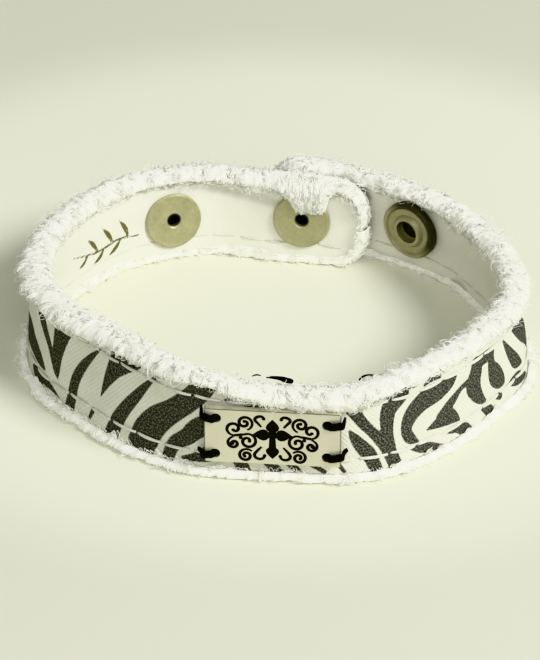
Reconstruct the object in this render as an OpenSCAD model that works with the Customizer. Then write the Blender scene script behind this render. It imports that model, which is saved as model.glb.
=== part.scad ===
// Frayed canvas bracelet. A strap of printed canvas on a plain lining is closed
// into a ring by ring snaps, stands on its lower edge and carries a steel plate
// with an inlaid cross, lashed on by four thread loops.

/* [Cloth] */
// Thickness of each layer of canvas
cloth_t = 1.0; // [0.8:0.05:1.0]
// Gap between the printed canvas and its lining
layer_gap = 0.14; // [0.12:0.02:0.18]
// Height of the strap's lower raw edge above the table
cloth_low = 1.0; // [0.8:0.1:1.4]
// Radius of the corners at the strap's two ends
corner_r = 4.6; // [2:0.2:5]

/* [Fray] */
// How far the fray stands out beside the strap
fray_reach = 1.15; // [0.8:0.05:1.2]
// How far the fray rises above the upper raw edge
fray_rise = 1.5; // [1:0.1:2]
// Height of the bracelet, which the fray does not pass
bracelet_h = 15.0; // [14.5:0.1:15.5]
// How far the fray hangs down over the cloth
fray_lap = 1.0; // [0.6:0.1:1.4]
// Depth of the hollows between the locks of yarn, as a share of the fray's reach
lock_depth = 0.46; // [0.2:0.02:0.6]
// Length of strap taken by one lock of yarn
lock_pitch = 3.0; // [2.6:0.2:5]
// Length of the long locks that hang over the middle snap
tuft_l = 5.2; // [4:0.2:6]

/* [Plate] */
// Width of the steel plate
plate_w = 18.0; // [17:0.5:19]
// Height of the steel plate
plate_h = 8.2; // [8.2:0.1:9]
// Thickness of the steel plate
plate_t = 0.9; // [0.8:0.05:1.1]
// Radius of the plate's corners
plate_corner = 0.35; // [0.2:0.05:0.6]
// Depth of the engraved ornament
engrave_d = 0.25; // [0.15:0.05:0.3]
// Width of an engraved scroll line
scroll_w = 0.44; // [0.3:0.02:0.46]

/* [Lashings] */
// Width of a flat loop of black thread
thread_w = 1.2; // [1:0.05:1.3]
// Thickness of a loop of black thread
thread_t = 0.56; // [0.5:0.02:0.7]
// Radius of the four holes in the plate
hole_r = 0.7; // [0.65:0.05:0.75]

/* [Snaps] */
// Diameter of the flanges on the lining
flange_d = 8.6; // [8:0.2:9]
// Diameter of the sockets
socket_d = 9.0; // [8.6:0.2:9.2]
// Diameter of the caps on the printed side
cap_d = 8.8; // [8.6:0.2:9]
// Radius of the stud that clicks into the socket
stud_r = 1.7; // [1.6:0.05:1.8]
// Radial clearance of the stud in the socket
stud_play = 0.05; // [0.05:0.01:0.1]
// Height of the spare stud's centre above the table
spare_stud_z = 6.3; // [6.1:0.1:6.8]
// Height of the closed snap's centre above the table
closed_z = 7.1; // [6.8:0.1:7.2]
// Height of the spare socket's centre above the table
spare_socket_z = 8.1; // [6.8:0.1:8.1]

/* [Hidden] */

// Plan of the strap: one row for each bend. It starts at the inner end behind the
// right of the ring, runs round by the back, the left, the front and the right, and
// ends behind the inner end, where the two lie over each other.
// Columns: direction from the middle of the ring in degrees, distance of the printed
// face there, outward lean of the upper edge, height of the upper raw edge
TURN = 0; DISTANCE = 1; LEAN = 2; UPPER = 3;
plan = [
    [ 50, 30.4,  0.5, 12.6],
    [ 60, 29.7,  0.6, 12.6],
    [ 72, 29.3,  0.8, 12.6],
    [ 90, 29.2,  0.9, 12.6],
    [ 99, 31.2,  1.0, 12.6],
    [108, 33.2,  1.0, 12.6],
    [120, 34.3,  1.2, 12.7],
    [134, 35.3,  1.0, 12.8],
    [150, 35.2,  0.4, 12.9],
    [172, 35.0, -0.4, 13.0],
    [188, 34.2, -1.2, 13.2],
    [203, 32.5, -1.9, 13.4],
    [216, 30.5, -2.4, 13.5],
    [232, 30.6, -2.2, 13.6],
    [250, 31.7, -0.6, 13.9],
    [262, 31.5,  0.0, 13.2],
    [272, 31.6,  0.0, 12.7],
    [286, 33.6,  0.0, 12.8],
    [296, 34.5,  0.0, 13.3],
    [310, 34.0, -0.2, 13.5],
    [330, 34.2, -0.3, 13.4],
    [346, 35.7, -1.3, 13.0],
    [360, 35.3, -1.2, 12.7],
    [380, 33.8, -0.6, 12.7],
    [398, 33.8, -0.8, 12.8],
    [412, 33.2, -0.8, 12.85],
    [424, 33.1, -0.3, 12.8],
    [436, 34.1,  0.7, 12.7],
    [450, 34.4,  0.9, 12.6],
    [470, 34.4,  0.9, 12.6]];
inner_end = 61.5;
outer_end = 450;
mid_z = 7;
lean_span = 11;

// A bend's value, eased over a window of six degrees to each side
ease = [1, 4, 6, 4, 1];
ease_step = 3;
function column(c) = [for (row = plan) [row[TURN], row[c]]];
distances = column(DISTANCE);
leans = column(LEAN);
uppers = column(UPPER);
function eased(a, points) =
    [for (k = [0 : 4]) ease[k] * lookup(a + (k - 2) * ease_step, points)] * [1, 1, 1, 1, 1] / 16;

// Point of the strap at turn a, depth inside the printed face and height z
function plan_r(a, depth, z) =
    eased(a, distances) + eased(a, leans) * (z - mid_z) / lean_span - depth;
function raw_point(a, depth, z) = let (r = plan_r(a, depth, z)) [r * cos(a), r * sin(a)];

// The whole bracelet's outer box is centred on the origin. The fray, and the lashings
// in front, move its middle away from the strap's own by box_shift.
box_shift = [0.19, -0.37];
trace_x = [for (a = [inner_end : 3 : outer_end]) raw_point(a, 0, mid_z)[0]];
trace_y = [for (a = [inner_end : 3 : outer_end]) raw_point(a, 0, mid_z)[1]];
middle = box_shift + [min(trace_x) + max(trace_x), min(trace_y) + max(trace_y)] / 2;
function band(a, depth, z) = let (p = raw_point(a, depth, z) - middle) [p[0], p[1], z];

strap_t = 2 * cloth_t + layer_gap;
deg_per_mm = 180 / PI / 33;

// Turns at which the cloth has a section, closer together round the end corners
corner_steps = 7;
rounded = corner_r * deg_per_mm;
corner_turns = [for (k = [0 : corner_steps]) rounded * (1 - cos(90 * k / corner_steps))];
wall_sections = 104;
wall_step = (outer_end - inner_end - 2 * rounded) / wall_sections;
cloth_turns = concat(
    [for (t = corner_turns) inner_end + t],
    [for (i = [1 : wall_sections - 1]) inner_end + rounded + i * wall_step],
    [for (k = [corner_steps : -1 : 0]) outer_end - corner_turns[k]]);

// How much a round corner takes off the strap's width at turn a
function end_distance(a) = min(a - inner_end, outer_end - a) / deg_per_mm;
function corner_cut(a) = let (d = max(0, corner_r - end_distance(a)))
    corner_r - sqrt(max(0, corner_r * corner_r - d * d));
function lower_edge(a) = cloth_low + corner_cut(a);
function upper_edge(a) = eased(a, uppers) - corner_cut(a);

// Closed skin over a list of sections that all have the same number of points
module skin(sections) {
    n = len(sections[0]);
    last = len(sections) - 1;
    polyhedron(
        points = [for (s = sections) for (p = s) p],
        faces = concat(
            [[for (j = [0 : n - 1]) j]],
            [for (i = [0 : last - 1]) for (j = [0 : n - 1])
                [i * n + j, (i + 1) * n + j, (i + 1) * n + (j + 1) % n]],
            [for (i = [0 : last - 1]) for (j = [0 : n - 1])
                [i * n + j, (i + 1) * n + (j + 1) % n, i * n + (j + 1) % n]],
            [[for (j = [n - 1 : -1 : 0]) last * n + j]]));
}

// Cloth wall between two depths inside the printed face
module cloth_wall(near, far) {
    skin([for (a = cloth_turns) [
        band(a, near, lower_edge(a)), band(a, far, lower_edge(a)),
        band(a, far, upper_edge(a)), band(a, near, upper_edge(a))]]);
}

// Each snap has one axis, square to the wall, through a turn and a height on the
// printed face. The closed one passes through both layers of the strap.
spare_stud_at = [117.8, spare_stud_z];
closed_at = [80.8, closed_z];
spare_socket_at = [408.2, spare_socket_z];
strap_gap = plan_r(closed_at[0] + 360, 0, closed_z) - plan_r(closed_at[0], 0, closed_z);
function wall_facing(a, z) = let (t = band(a + 4, 0, z) - band(a - 4, 0, z)) atan2(-t[0], t[1]);
function snap_facing(at) = at == closed_at
    ? (wall_facing(at[0], at[1]) + wall_facing(at[0] + 360, at[1])) / 2
    : wall_facing(at[0], at[1]);
function wall_tilt(a) = 90 + atan(eased(a, leans) / lean_span);

// Places its children on a snap's axis, with +Z outwards and 0 that far out of the
// printed face
module at_snap(at, out) {
    translate(band(at[0], 0, at[1])) rotate([0, wall_tilt(at[0]), snap_facing(at)])
        translate([0, 0, out]) children();
}

barrel_r = 1.3;
barrel_wall = 0.4;
cloth_hole_r = barrel_r + 0.15;
module snap_hole(at, wall_out) {
    at_snap(at, wall_out - strap_t - 1) cylinder(h = strap_t + 2, r = cloth_hole_r, $fn = 24);
}
module snap_holes() {
    snap_hole(spare_stud_at, 0);
    snap_hole(closed_at, 0);
    snap_hole(closed_at, strap_gap);
    snap_hole(spare_socket_at, 0);
}

module outer_canvas() {
    color([0.80, 0.80, 0.76]) difference() {
        cloth_wall(0, cloth_t);
        snap_holes();
    }
}

module inner_canvas() {
    color([0.93, 0.93, 0.88]) difference() {
        cloth_wall(cloth_t + layer_gap, strap_t);
        snap_holes();
    }
}

// Fray. It follows each raw edge round the corners at both ends. A stop on its way is
// a turn, a height and the way out of the cloth there, along and up.
half_t = strap_t / 2;
cloth_play = 0.12;
corner_stops = 5;
end_tail = 0.9;
straight_stops = round((outer_end - inner_end - 2 * rounded) / deg_per_mm / lock_pitch) * 2;
stop_step = (outer_end - inner_end - 2 * rounded) / straight_stops;
function raw_edge(a, up) = up > 0 ? eased(a, uppers) : cloth_low;
function corner_stop(end, way, up, c) = let (a = end + way * rounded * (1 - sin(c)))
    [a, raw_edge(a, up) - up * corner_r * (1 - cos(c)), -way * sin(c), up * cos(c)];
function tail_stop(end, way, up) = [end, raw_edge(end, up) - up * (corner_r + end_tail), -way, 0];
function stops(up) = concat(
    [tail_stop(inner_end, 1, up)],
    [for (k = [corner_stops : -1 : 0]) corner_stop(inner_end, 1, up, 90 * k / corner_stops)],
    [for (i = [1 : straight_stops - 1]) let (a = inner_end + rounded + i * stop_step)
        [a, raw_edge(a, up), 0, up]],
    [for (k = [0 : corner_stops]) corner_stop(outer_end, -1, up, 90 * k / corner_stops)],
    [tail_stop(outer_end, -1, up)]);

// Point of the fray at a stop, u outwards from the strap's middle and w out of its edge
function fray_point(stop, u, w) =
    band(stop[0] + w * stop[2] * deg_per_mm, half_t - u, stop[1] + w * stop[3]);

// The fray hangs less far at the snaps and the plate, and is thinner at the two ends.
// Columns of the table: turn of the spot, half its width, least share of the lap
snap_half = 8;
plate_half = 22;
bare_spots = [
    [closed_at[0],       snap_half,  0.35],
    [spare_stud_at[0],   snap_half,  0.35],
    [269,                plate_half, 0.35],
    [spare_socket_at[0], snap_half,  0.1],
    [closed_at[0] + 360, snap_half,  0.35]];
spot_ease = 3;
end_share = 0.6;
end_ease = 3;
function end_taper(a) = end_share + (1 - end_share) * min(1, max(0, end_distance(a)) / end_ease);
function lap(a) = fray_lap
    * min([for (s = bare_spots) min(1, max(s[2], (abs(a - s[0]) - s[1]) / spot_ease))]);
function rise_at(a) = min(fray_rise * end_taper(a), bracelet_h - eased(a, uppers));
function over_lapped(a) = a > inner_end - 5 && a < outer_end - 355;
function room(a, side) = let (t = side > 0 ? a : a - 360) over_lapped(t)
    ? (plan_r(t + 360, strap_t, mid_z) - plan_r(t, 0, mid_z)) / 2 - 0.06
    : fray_reach;

// Every other point of a section draws back, and the next section has them the other
// way about, so that the roll is broken into locks of yarn set like bricks
function hollow(i, j) = (i + j) % 2 * lock_depth * (0.75 + 0.25 * sin(i * 47 + j * 80));
shoulder = 0.75;
hem = 0.95;
hem_drop = 0.2;
top_hollow = 0.6;
bottom_lap = 0.6;
function reach(i, j, a, side) = min(fray_reach * end_taper(a), room(a, side)) * (1 - hollow(i, j));
function top_section(i, stop) = let (a = stop[0], low = -lap(a), rise = rise_at(a),
    out = function(j) half_t + reach(i, j, a, 1), in = function(j) -half_t - reach(i, j, a, -1)) [
    fray_point(stop, half_t + cloth_play, low),
    fray_point(stop, out(1) * hem, low - hem_drop),
    fray_point(stop, out(2), 0),
    fray_point(stop, out(3) * shoulder, rise * shoulder),
    fray_point(stop, 0, rise * (1 - top_hollow * hollow(i, 4))),
    fray_point(stop, in(5) * shoulder, rise * shoulder),
    fray_point(stop, in(6), 0),
    fray_point(stop, in(7) * hem, low - hem_drop),
    fray_point(stop, -half_t - cloth_play, low),
    fray_point(stop, -half_t - cloth_play, cloth_play),
    fray_point(stop, half_t + cloth_play, cloth_play)];
function bottom_section(i, stop) = let (a = stop[0], low = -fray_lap * bottom_lap, foot = cloth_low,
    out = function(j) half_t + reach(i, j, a, 1), in = function(j) -half_t - reach(i, j, a, -1)) [
    fray_point(stop, half_t + cloth_play, cloth_play),
    fray_point(stop, -half_t - cloth_play, cloth_play),
    fray_point(stop, -half_t - cloth_play, low),
    fray_point(stop, in(1) * hem, low + hem_drop / 2),
    fray_point(stop, in(2), foot / 2),
    fray_point(stop, -half_t - hem_drop, foot),
    fray_point(stop, half_t + hem_drop, foot),
    fray_point(stop, out(3), foot / 2),
    fray_point(stop, out(4) * hem, low + hem_drop / 2),
    fray_point(stop, half_t + cloth_play, low)];

// Long locks that hang from the fray over the inner half of the closed snap.
// Columns: share of the lock's length, distance from the lining, half thickness
LOCK_SHARE = 0; LOCK_OFF = 1; LOCK_HALF = 2;
lock_bends = [
    [0.00, 0.50, 0.45],
    [0.15, 1.55, 0.55],
    [0.55, 1.60, 0.60],
    [1.00, 1.20, 0.15]];
tuft_locks = 6;
tuft_spread = 2.4;
tuft_top = 13.2;
module hanging_lock(a, length) {
    skin([for (b = lock_bends)
        let (z = tuft_top - length * b[LOCK_SHARE], depth = strap_t + b[LOCK_OFF],
            half = b[LOCK_HALF], turn = half * 1.4 * deg_per_mm) [
        band(a - turn, depth, z), band(a, depth + half, z),
        band(a + turn, depth, z), band(a, depth - half, z)]]);
}

module fray_top() {
    way = stops(1);
    color([0.97, 0.97, 0.94]) union() {
        skin([for (i = [len(way) - 1 : -1 : 0]) top_section(i, way[i])]);
        for (k = [0 : tuft_locks - 1])
            hanging_lock(closed_at[0] + (k - (tuft_locks - 1) / 2) * tuft_spread,
                tuft_l * (0.8 + 0.2 * sin(k * 100)));
    }
}

module fray_bottom() {
    way = stops(-1);
    color([0.95, 0.95, 0.91])
        skin([for (i = [len(way) - 1 : -1 : 0]) bottom_section(i, way[i])]);
}

// Plate. Its own frame has +X to the right along it, +Y up and +Z out of its face,
// and its back lies at 0.
plate_turn = -5.3;
plate_back = [-0.1, -31.95, 7.2];

// Lashings, in the plate's frame. Each comes up through its hole, lies over the
// plate's end and goes down into the cloth. Two are on the left, two on the right.
// Columns: hole across and up, foot across, up and back
HOLE_X = 0; HOLE_Y = 1; FOOT_X = 2; FOOT_Y = 3; FOOT_Z = 4;
lashings = [
    [-7.45,  2.70, -9.50,  3.60, -0.40],
    [-7.60, -2.80, -9.95, -3.05, -0.40],
    [ 7.20,  2.33,  9.45,  3.00, -0.05],
    [ 7.20, -2.65,  9.80, -1.80,  0.00]];
module on_plate() {
    translate(plate_back - [middle[0], middle[1], 0]) rotate([90, 0, plate_turn]) children();
}

// Ornament of the plate, right half, as spirals r = r0 + (r1 - r0) * t ^ bend.
// Columns: centre across and up, first and last direction in degrees, first and
// last radius, bend, radius of the bud at the end
CX = 0; CY = 1; FROM = 2; TO = 3; R0 = 4; R1 = 5; BEND = 6; BUD = 7;
scrolls = [
    [3.68,  2.16,  252, -270, 1.15, 0.22, 1.0, 0.25],
    [5.05,  1.17,  -87,  300, 1.02, 0.22, 1.6, 0.24],
    [3.24, -0.68,   60,  540, 1.17, 0.22, 1.4, 0.24],
    [5.10, -1.10,   88, -360, 1.10, 0.22, 0.6, 0.32],
    [3.50, -2.92,  139, -400, 1.06, 0.22, 1.0, 0.24]];
// Hooks above and below the cross, from the tail to the bud at the end
hook_bud = 0.24;
hooks = [
    [[1.46, 1.62], [1.75, 1.98], [2.02, 2.29], [2.20, 2.49], [2.33, 2.70], [2.28, 2.92],
        [2.12, 3.10], [1.88, 3.23], [1.60, 3.27], [1.36, 3.22], [1.20, 3.08], [1.16, 2.90]],
    [[1.43, -1.45], [1.74, -1.80], [2.02, -2.12], [2.24, -2.41], [2.38, -2.72], [2.34, -2.98],
        [2.18, -3.20], [1.94, -3.34], [1.66, -3.38], [1.38, -3.33], [1.14, -3.14],
        [1.03, -2.82]]];
scroll_step = 20;
bar = [[3.3, 0.42], [5.1, 0.12]];
leaf = [4.18, -0.17, 0.26];

// Line of ink through a list of points, thinner at its first end and a little at its
// last. Grow makes it broader and longer by a margin all round.
first_thin = 0.4;
last_thin = 0.15;
module line_along(points, grow) {
    n = len(points) - 1;
    way = [for (i = [0 : n]) let (d = points[min(n, i + 1)] - points[max(0, i - 1)]) d / norm(d)];
    half = [for (i = [0 : n]) let (t = 2 * i / n - 1)
        scroll_w / 2 * (1 - (t < 0 ? first_thin : last_thin) * pow(abs(t), 3)) + grow];
    on_line = [for (i = [0 : n])
        points[i] + way[i] * (i == 0 ? -grow : i == n ? grow : 0)];
    polygon(concat(
        [for (i = [0 : n]) on_line[i] + half[i] * [-way[i][1], way[i][0]]],
        [for (i = [n : -1 : 0]) on_line[i] - half[i] * [-way[i][1], way[i][0]]]));
}

module scroll(s, grow) {
    n = ceil(abs(s[TO] - s[FROM]) / scroll_step);
    line_along([for (i = [0 : n])
        let (t = i / n, a = s[FROM] + (s[TO] - s[FROM]) * t,
            r = s[R0] + (s[R1] - s[R0]) * pow(t, s[BEND]))
        [s[CX] + r * cos(a), s[CY] + r * sin(a)]], grow);
    translate([s[CX] + s[R1] * cos(s[TO]), s[CY] + s[R1] * sin(s[TO])])
        circle(r = s[BUD] + grow, $fn = 16);
}

// Cross with leaf-shaped arms: half width of a bud at share t from neck to tip
cross_middle = 0.42;
arm_l = 2.45;
side_arm_l = 2.62;
neck_half = 0.48;
bud_bulge = 0.56;
bud_steps = 12;
function bud_half(t) = neck_half * (1 - t) + bud_bulge * sin(180 * pow(t, 0.75));
module bud(length, neck_at, grow) {
    outline = [for (i = [0 : bud_steps]) let (t = i / bud_steps)
        [bud_half(t) + grow * (1 - t), neck_at + (length - neck_at + grow) * t]];
    polygon(concat([[neck_half * 0.8 + grow, 0]], outline,
        [for (i = [bud_steps : -1 : 0]) [-outline[i][0], outline[i][1]]],
        [[-neck_half * 0.8 - grow, 0]]));
}

foot_l = 3.70;
foot_neck = 1.95;
module cross_shape(grow) {
    translate([0, cross_middle]) union() {
        for (a = [-90, 0, 90]) rotate([0, 0, a]) bud(a == 0 ? arm_l : side_arm_l, 0.55, grow);
        rotate([0, 0, 180]) bud(foot_l, foot_neck, grow);
    }
}

module half_scrolls(grow) {
    for (s = scrolls) scroll(s, grow);
    for (h = hooks) {
        line_along(h, grow);
        translate(h[len(h) - 1]) circle(r = hook_bud + grow, $fn = 16);
    }
    line_along([bar[0], (bar[0] + bar[1]) / 2, bar[1]], grow);
    translate([leaf[0], leaf[1]]) circle(r = leaf[2] + grow, $fn = 16);
}

module ornament(grow) {
    cross_shape(grow);
    half_scrolls(grow);
    mirror([1, 0]) half_scrolls(grow);
}

module plate_outline() {
    inset = plate_corner;
    square([plate_w - 2 * inset, plate_h], center = true);
    square([plate_w, plate_h - 2 * inset], center = true);
    for (x = [-1, 1], y = [-1, 1])
        translate([x * (plate_w / 2 - inset), y * (plate_h / 2 - inset)])
            circle(r = inset, $fn = 24);
}

inlay_play = 0.015;
module cross_plate() {
    color([0.80, 0.79, 0.68]) on_plate() difference() {
        linear_extrude(plate_t) plate_outline();
        for (l = lashings)
            translate([l[HOLE_X], l[HOLE_Y], -1]) cylinder(h = plate_t + 2, r = hole_r, $fn = 32);
        translate([0, 0, plate_t - engrave_d]) linear_extrude(1) ornament(inlay_play);
    }
}

inlay_low = 0.06;
module cross_inlay() {
    color([0.08, 0.08, 0.07]) on_plate()
        translate([0, 0, plate_t - engrave_d + 0.01])
            linear_extrude(engrave_d - inlay_low) ornament(0);
}

// A thread is a flattened tube swept along a smooth curve through its route
thread_play = 0.07;
thread_sides = 8;
lashing_steps = 3;
function mix(p, q, t) = p * (1 - t) + q * t;
function curve_point(p, k, t) = let (
        a = p[max(0, k - 1)], b = p[k], c = p[k + 1], d = p[min(len(p) - 1, k + 2)])
    0.5 * (2 * b + (c - a) * t + (2 * a - 5 * b + 4 * c - d) * t * t
        + (3 * b - a - 3 * c + d) * t * t * t);
module thread_loop(l) {
    half_w = thread_w / 2;
    off = thread_play + thread_t / 2;
    over = plate_t + off;
    side = sign(l[HOLE_X]);
    plate_end = side * plate_w / 2;
    knee = off * 0.8;
    up_at = function(share) mix(l[HOLE_Y], l[FOOT_Y], share);
    route = [
        [l[HOLE_X], l[HOLE_Y], 0],
        [l[HOLE_X], l[HOLE_Y], plate_t * 0.55],
        [l[HOLE_X] + side * 0.3, l[HOLE_Y], over - 0.08],
        [l[HOLE_X] + side * 0.9, up_at(0.1), over],
        [plate_end - side * 0.1, up_at(0.35), over],
        [plate_end + side * knee, up_at(0.55), plate_t + knee],
        [plate_end + side * (off + 0.03), up_at(0.75), plate_t * 0.6],
        [l[FOOT_X], l[FOOT_Y], l[FOOT_Z]]];
    last = len(route) - 1;
    points = concat([for (k = [0 : last - 1], s = [0 : lashing_steps - 1])
        curve_point(route, k, s / lashing_steps)], [route[last]]);
    n = len(points) - 1;
    skin([for (i = [0 : n]) let (
        d = points[min(n, i + 1)] - points[max(0, i - 1)],
        w = d / norm(d),
        out = cross(w, [0, side, 0]),
        u = out / norm(out),
        v = cross(w, u))
        [for (j = [0 : thread_sides - 1]) let (a = 360 * j / thread_sides)
            points[i] + thread_t / 2 * cos(a) * u + half_w * sin(a) * v]]);
}

module lashing(k) {
    color([0.10, 0.10, 0.09]) on_plate() thread_loop(lashings[k]);
}
module lashing_left_top() { lashing(0); }
module lashing_left_bottom() { lashing(1); }
module lashing_right_top() { lashing(2); }
module lashing_right_bottom() { lashing(3); }

// Snap pieces, turned about their axis. A flat disc on the hollow side of the wall
// stands off by the wall's sagitta.
flange_t = 0.45;
base_t = 0.55;
stud_h = 1.35;
socket_h = 1.6;
cap_h = 1.0;
stand_off = 0.36;
seat = 0.05;
metal = [0.62, 0.60, 0.44];
flange_r = flange_d / 2;
socket_r = socket_d / 2;
cap_r = cap_d / 2;

// Flange with a rolled rim on the lining and a barrel up through the cloth
module flange() {
    barrel_top = strap_t + seat + stand_off + base_t;
    color(metal) translate([0, 0, -stand_off]) rotate_extrude($fn = 64) polygon([
        [barrel_r - barrel_wall, -flange_t + 0.15],
        [barrel_r - barrel_wall + 0.25, -flange_t],
        [flange_r - 0.7, -flange_t],
        [flange_r - 0.25, -flange_t - 0.08],
        [flange_r, -flange_t + 0.15],
        [flange_r, -0.1],
        [flange_r - 0.1, 0],
        [barrel_r, 0],
        [barrel_r, barrel_top],
        [barrel_r - barrel_wall, barrel_top]]);
}

// Stud with a hollow under it for the barrel
module stud() {
    base_r = 3.4;
    color(metal) translate([0, 0, seat]) rotate_extrude($fn = 64) polygon([
        [barrel_r + seat, 0],
        [base_r - 0.1, 0],
        [base_r, 0.1],
        [base_r, base_t - 0.15],
        [base_r - 0.3, base_t],
        [stud_r, base_t],
        [stud_r, base_t + stud_h - 0.3],
        [stud_r - 0.3, base_t + stud_h],
        [0, base_t + stud_h],
        [0, base_t + stud_h - 0.35],
        [barrel_r + seat, base_t + stud_h - 0.6]]);
}

// Socket that faces -Z, with its back at 0: a raised rim, a dish and a collar
module socket() {
    bore_r = stud_r + stud_play;
    collar_r = bore_r + 0.6;
    color(metal) rotate_extrude($fn = 64) polygon([
        [0, 0],
        [socket_r - 0.9, 0],
        [socket_r, -0.2],
        [socket_r, -1.1],
        [socket_r - 0.25, -1.35],
        [socket_r - 0.6, -1.35],
        [socket_r - 0.85, -1.05],
        [collar_r + 0.3, -1.05],
        [collar_r, -socket_h + 0.15],
        [collar_r - 0.15, -socket_h],
        [bore_r, -socket_h],
        [bore_r, -0.25],
        [0, -0.25]]);
}

// Domed cap on the printed face, with a barrel down through the cloth
module cap() {
    barrel_end = -strap_t - stand_off + seat;
    color([0.66, 0.65, 0.58]) translate([0, 0, seat]) rotate_extrude($fn = 64) polygon([
        [0, barrel_end],
        [barrel_r, barrel_end],
        [barrel_r, 0],
        [cap_r - 0.2, 0],
        [cap_r, 0.2],
        [cap_r - 0.1, 0.45],
        [cap_r - 0.8, 0.75],
        [cap_r * 0.5, 0.95],
        [0, cap_h]]);
}

module spare_flange() { at_snap(spare_stud_at, -strap_t) flange(); }
module spare_stud() { at_snap(spare_stud_at, 0) stud(); }
module closed_flange() { at_snap(closed_at, -strap_t) flange(); }
module closed_stud() { at_snap(closed_at, 0) stud(); }
module closed_socket() { at_snap(closed_at, seat + base_t + seat + socket_h) socket(); }
module closed_cap() { at_snap(closed_at, strap_gap) cap(); }
module spare_socket() { at_snap(spare_socket_at, -strap_t - stand_off) socket(); }
module spare_cap() { at_snap(spare_socket_at, 0) cap(); }

outer_canvas();
inner_canvas();
fray_top();
fray_bottom();
cross_plate();
cross_inlay();
lashing_left_top();
lashing_left_bottom();
lashing_right_top();
lashing_right_bottom();
spare_flange();
spare_stud();
closed_flange();
closed_stud();
closed_socket();
closed_cap();
spare_socket();
spare_cap();
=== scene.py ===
# Frayed canvas bracelet: a strap of printed canvas on a plain lining, closed into a
# ring by ring snaps, with frayed edges, rows of stitches and a lashed steel plate.
import math
import bpy
import numpy as np
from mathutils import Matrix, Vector


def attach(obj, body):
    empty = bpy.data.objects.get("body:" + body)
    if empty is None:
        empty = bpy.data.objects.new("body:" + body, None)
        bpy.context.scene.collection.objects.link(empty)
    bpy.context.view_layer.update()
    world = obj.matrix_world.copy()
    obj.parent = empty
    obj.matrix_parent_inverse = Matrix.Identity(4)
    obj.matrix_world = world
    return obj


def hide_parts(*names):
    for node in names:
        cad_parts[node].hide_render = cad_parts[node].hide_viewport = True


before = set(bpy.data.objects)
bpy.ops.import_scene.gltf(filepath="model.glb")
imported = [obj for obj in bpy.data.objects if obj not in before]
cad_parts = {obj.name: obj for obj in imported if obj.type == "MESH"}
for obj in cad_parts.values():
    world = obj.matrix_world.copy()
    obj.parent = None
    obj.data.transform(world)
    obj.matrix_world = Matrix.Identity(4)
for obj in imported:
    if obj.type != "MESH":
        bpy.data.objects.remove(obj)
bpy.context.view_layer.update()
mm = 0.001
print("frame loaded:", len(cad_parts), "nodes")


# Strap: its plan is a ring of bends, seen from above, in millimetres and degrees
strap = dict(
    innerEnd=61.5,        # turn of the end that lies inside, behind
    outerEnd=450.0,       # turn of the end that lies outside
    clothT=1.0,           # thickness of one layer of canvas
    layerGap=0.14,        # gap between the two layers
    low=1.0,              # height of the lower raw edge
    cornerR=4.6,          # corners of the two ends
    midZ=7.0,             # height at which the plan is drawn
    leanSpan=11.0,        # height over which a wall leans by its lean
    boxShift=(0.19, -0.37),         # from the middle of the plan to that of the outer box
    degPerMm=180 / math.pi / 33)    # turn that is a millimetre long, at the usual distance
# Columns: turn, distance of the printed face, outward lean, height of the upper edge
bends = np.array([
    [50, 30.4, 0.5, 12.6], [60, 29.7, 0.6, 12.6], [72, 29.3, 0.8, 12.6],
    [90, 29.2, 0.9, 12.6], [99, 31.2, 1.0, 12.6], [108, 33.2, 1.0, 12.6],
    [120, 34.3, 1.2, 12.7], [134, 35.3, 1.0, 12.8], [150, 35.2, 0.4, 12.9],
    [172, 35.0, -0.4, 13.0], [188, 34.2, -1.2, 13.2], [203, 32.5, -1.9, 13.4],
    [216, 30.5, -2.4, 13.5], [232, 30.6, -2.2, 13.6], [250, 31.7, -0.6, 13.9],
    [262, 31.5, 0.0, 13.2], [272, 31.6, 0.0, 12.7], [286, 33.6, 0.0, 12.8],
    [296, 34.5, 0.0, 13.3], [310, 34.0, -0.2, 13.5], [330, 34.2, -0.3, 13.4],
    [346, 35.7, -1.3, 13.0], [360, 35.3, -1.2, 12.7], [380, 33.8, -0.6, 12.7],
    [398, 33.8, -0.8, 12.8], [412, 33.2, -0.8, 12.85], [424, 33.1, -0.3, 12.8],
    [436, 34.1, 0.7, 12.7], [450, 34.4, 0.9, 12.6], [470, 34.4, 0.9, 12.6]])
strapT = 2 * strap["clothT"] + strap["layerGap"]
halfT = strapT / 2


# A bend's value eased over six degrees to each side: weights 1 4 6 4 1 over 16
def eased(turn, column):
    weights = (1, 4, 6, 4, 1)
    steps = [w * np.interp(turn + (k - 2) * 3, bends[:, 0], bends[:, column])
             for k, w in enumerate(weights)]
    return sum(steps) / sum(weights)


# Distance from the middle of the ring = eased distance + lean share of height - depth
def planRadius(turn, depth, height):
    leanShare = (height - strap["midZ"]) / strap["leanSpan"]
    return eased(turn, 1) + eased(turn, 2) * leanShare - depth


def rawPoint(turn, depth, height):
    radius = planRadius(turn, depth, height)
    return radius * np.cos(np.radians(turn)), radius * np.sin(np.radians(turn))


# Middle of the outer box, which is the origin of the frame
trace = rawPoint(np.arange(strap["innerEnd"], strap["outerEnd"] + 0.01, 3), 0, strap["midZ"])
ringMiddle = [strap["boxShift"][k] + (trace[k].min() + trace[k].max()) / 2 for k in (0, 1)]


# Point of the strap at a turn, a depth inside the printed face and a height
def bandPoint(turn, depth, height):
    turn, depth, height = np.broadcast_arrays(turn, depth, height)
    x, y = rawPoint(turn, depth, height)
    return np.stack([x - ringMiddle[0], y - ringMiddle[1], height], axis=-1)


# Distance along the printed face, from the inner end, against the turn
turnTable = np.linspace(strap["innerEnd"], strap["outerEnd"], 4001)
traceTable = bandPoint(turnTable, 0, strap["midZ"])
alongTable = np.concatenate([[0], np.cumsum(np.linalg.norm(np.diff(traceTable, axis=0), axis=1))])
strapLength = alongTable[-1]


def turnAt(along):
    return np.interp(along, alongTable, turnTable)


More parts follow.
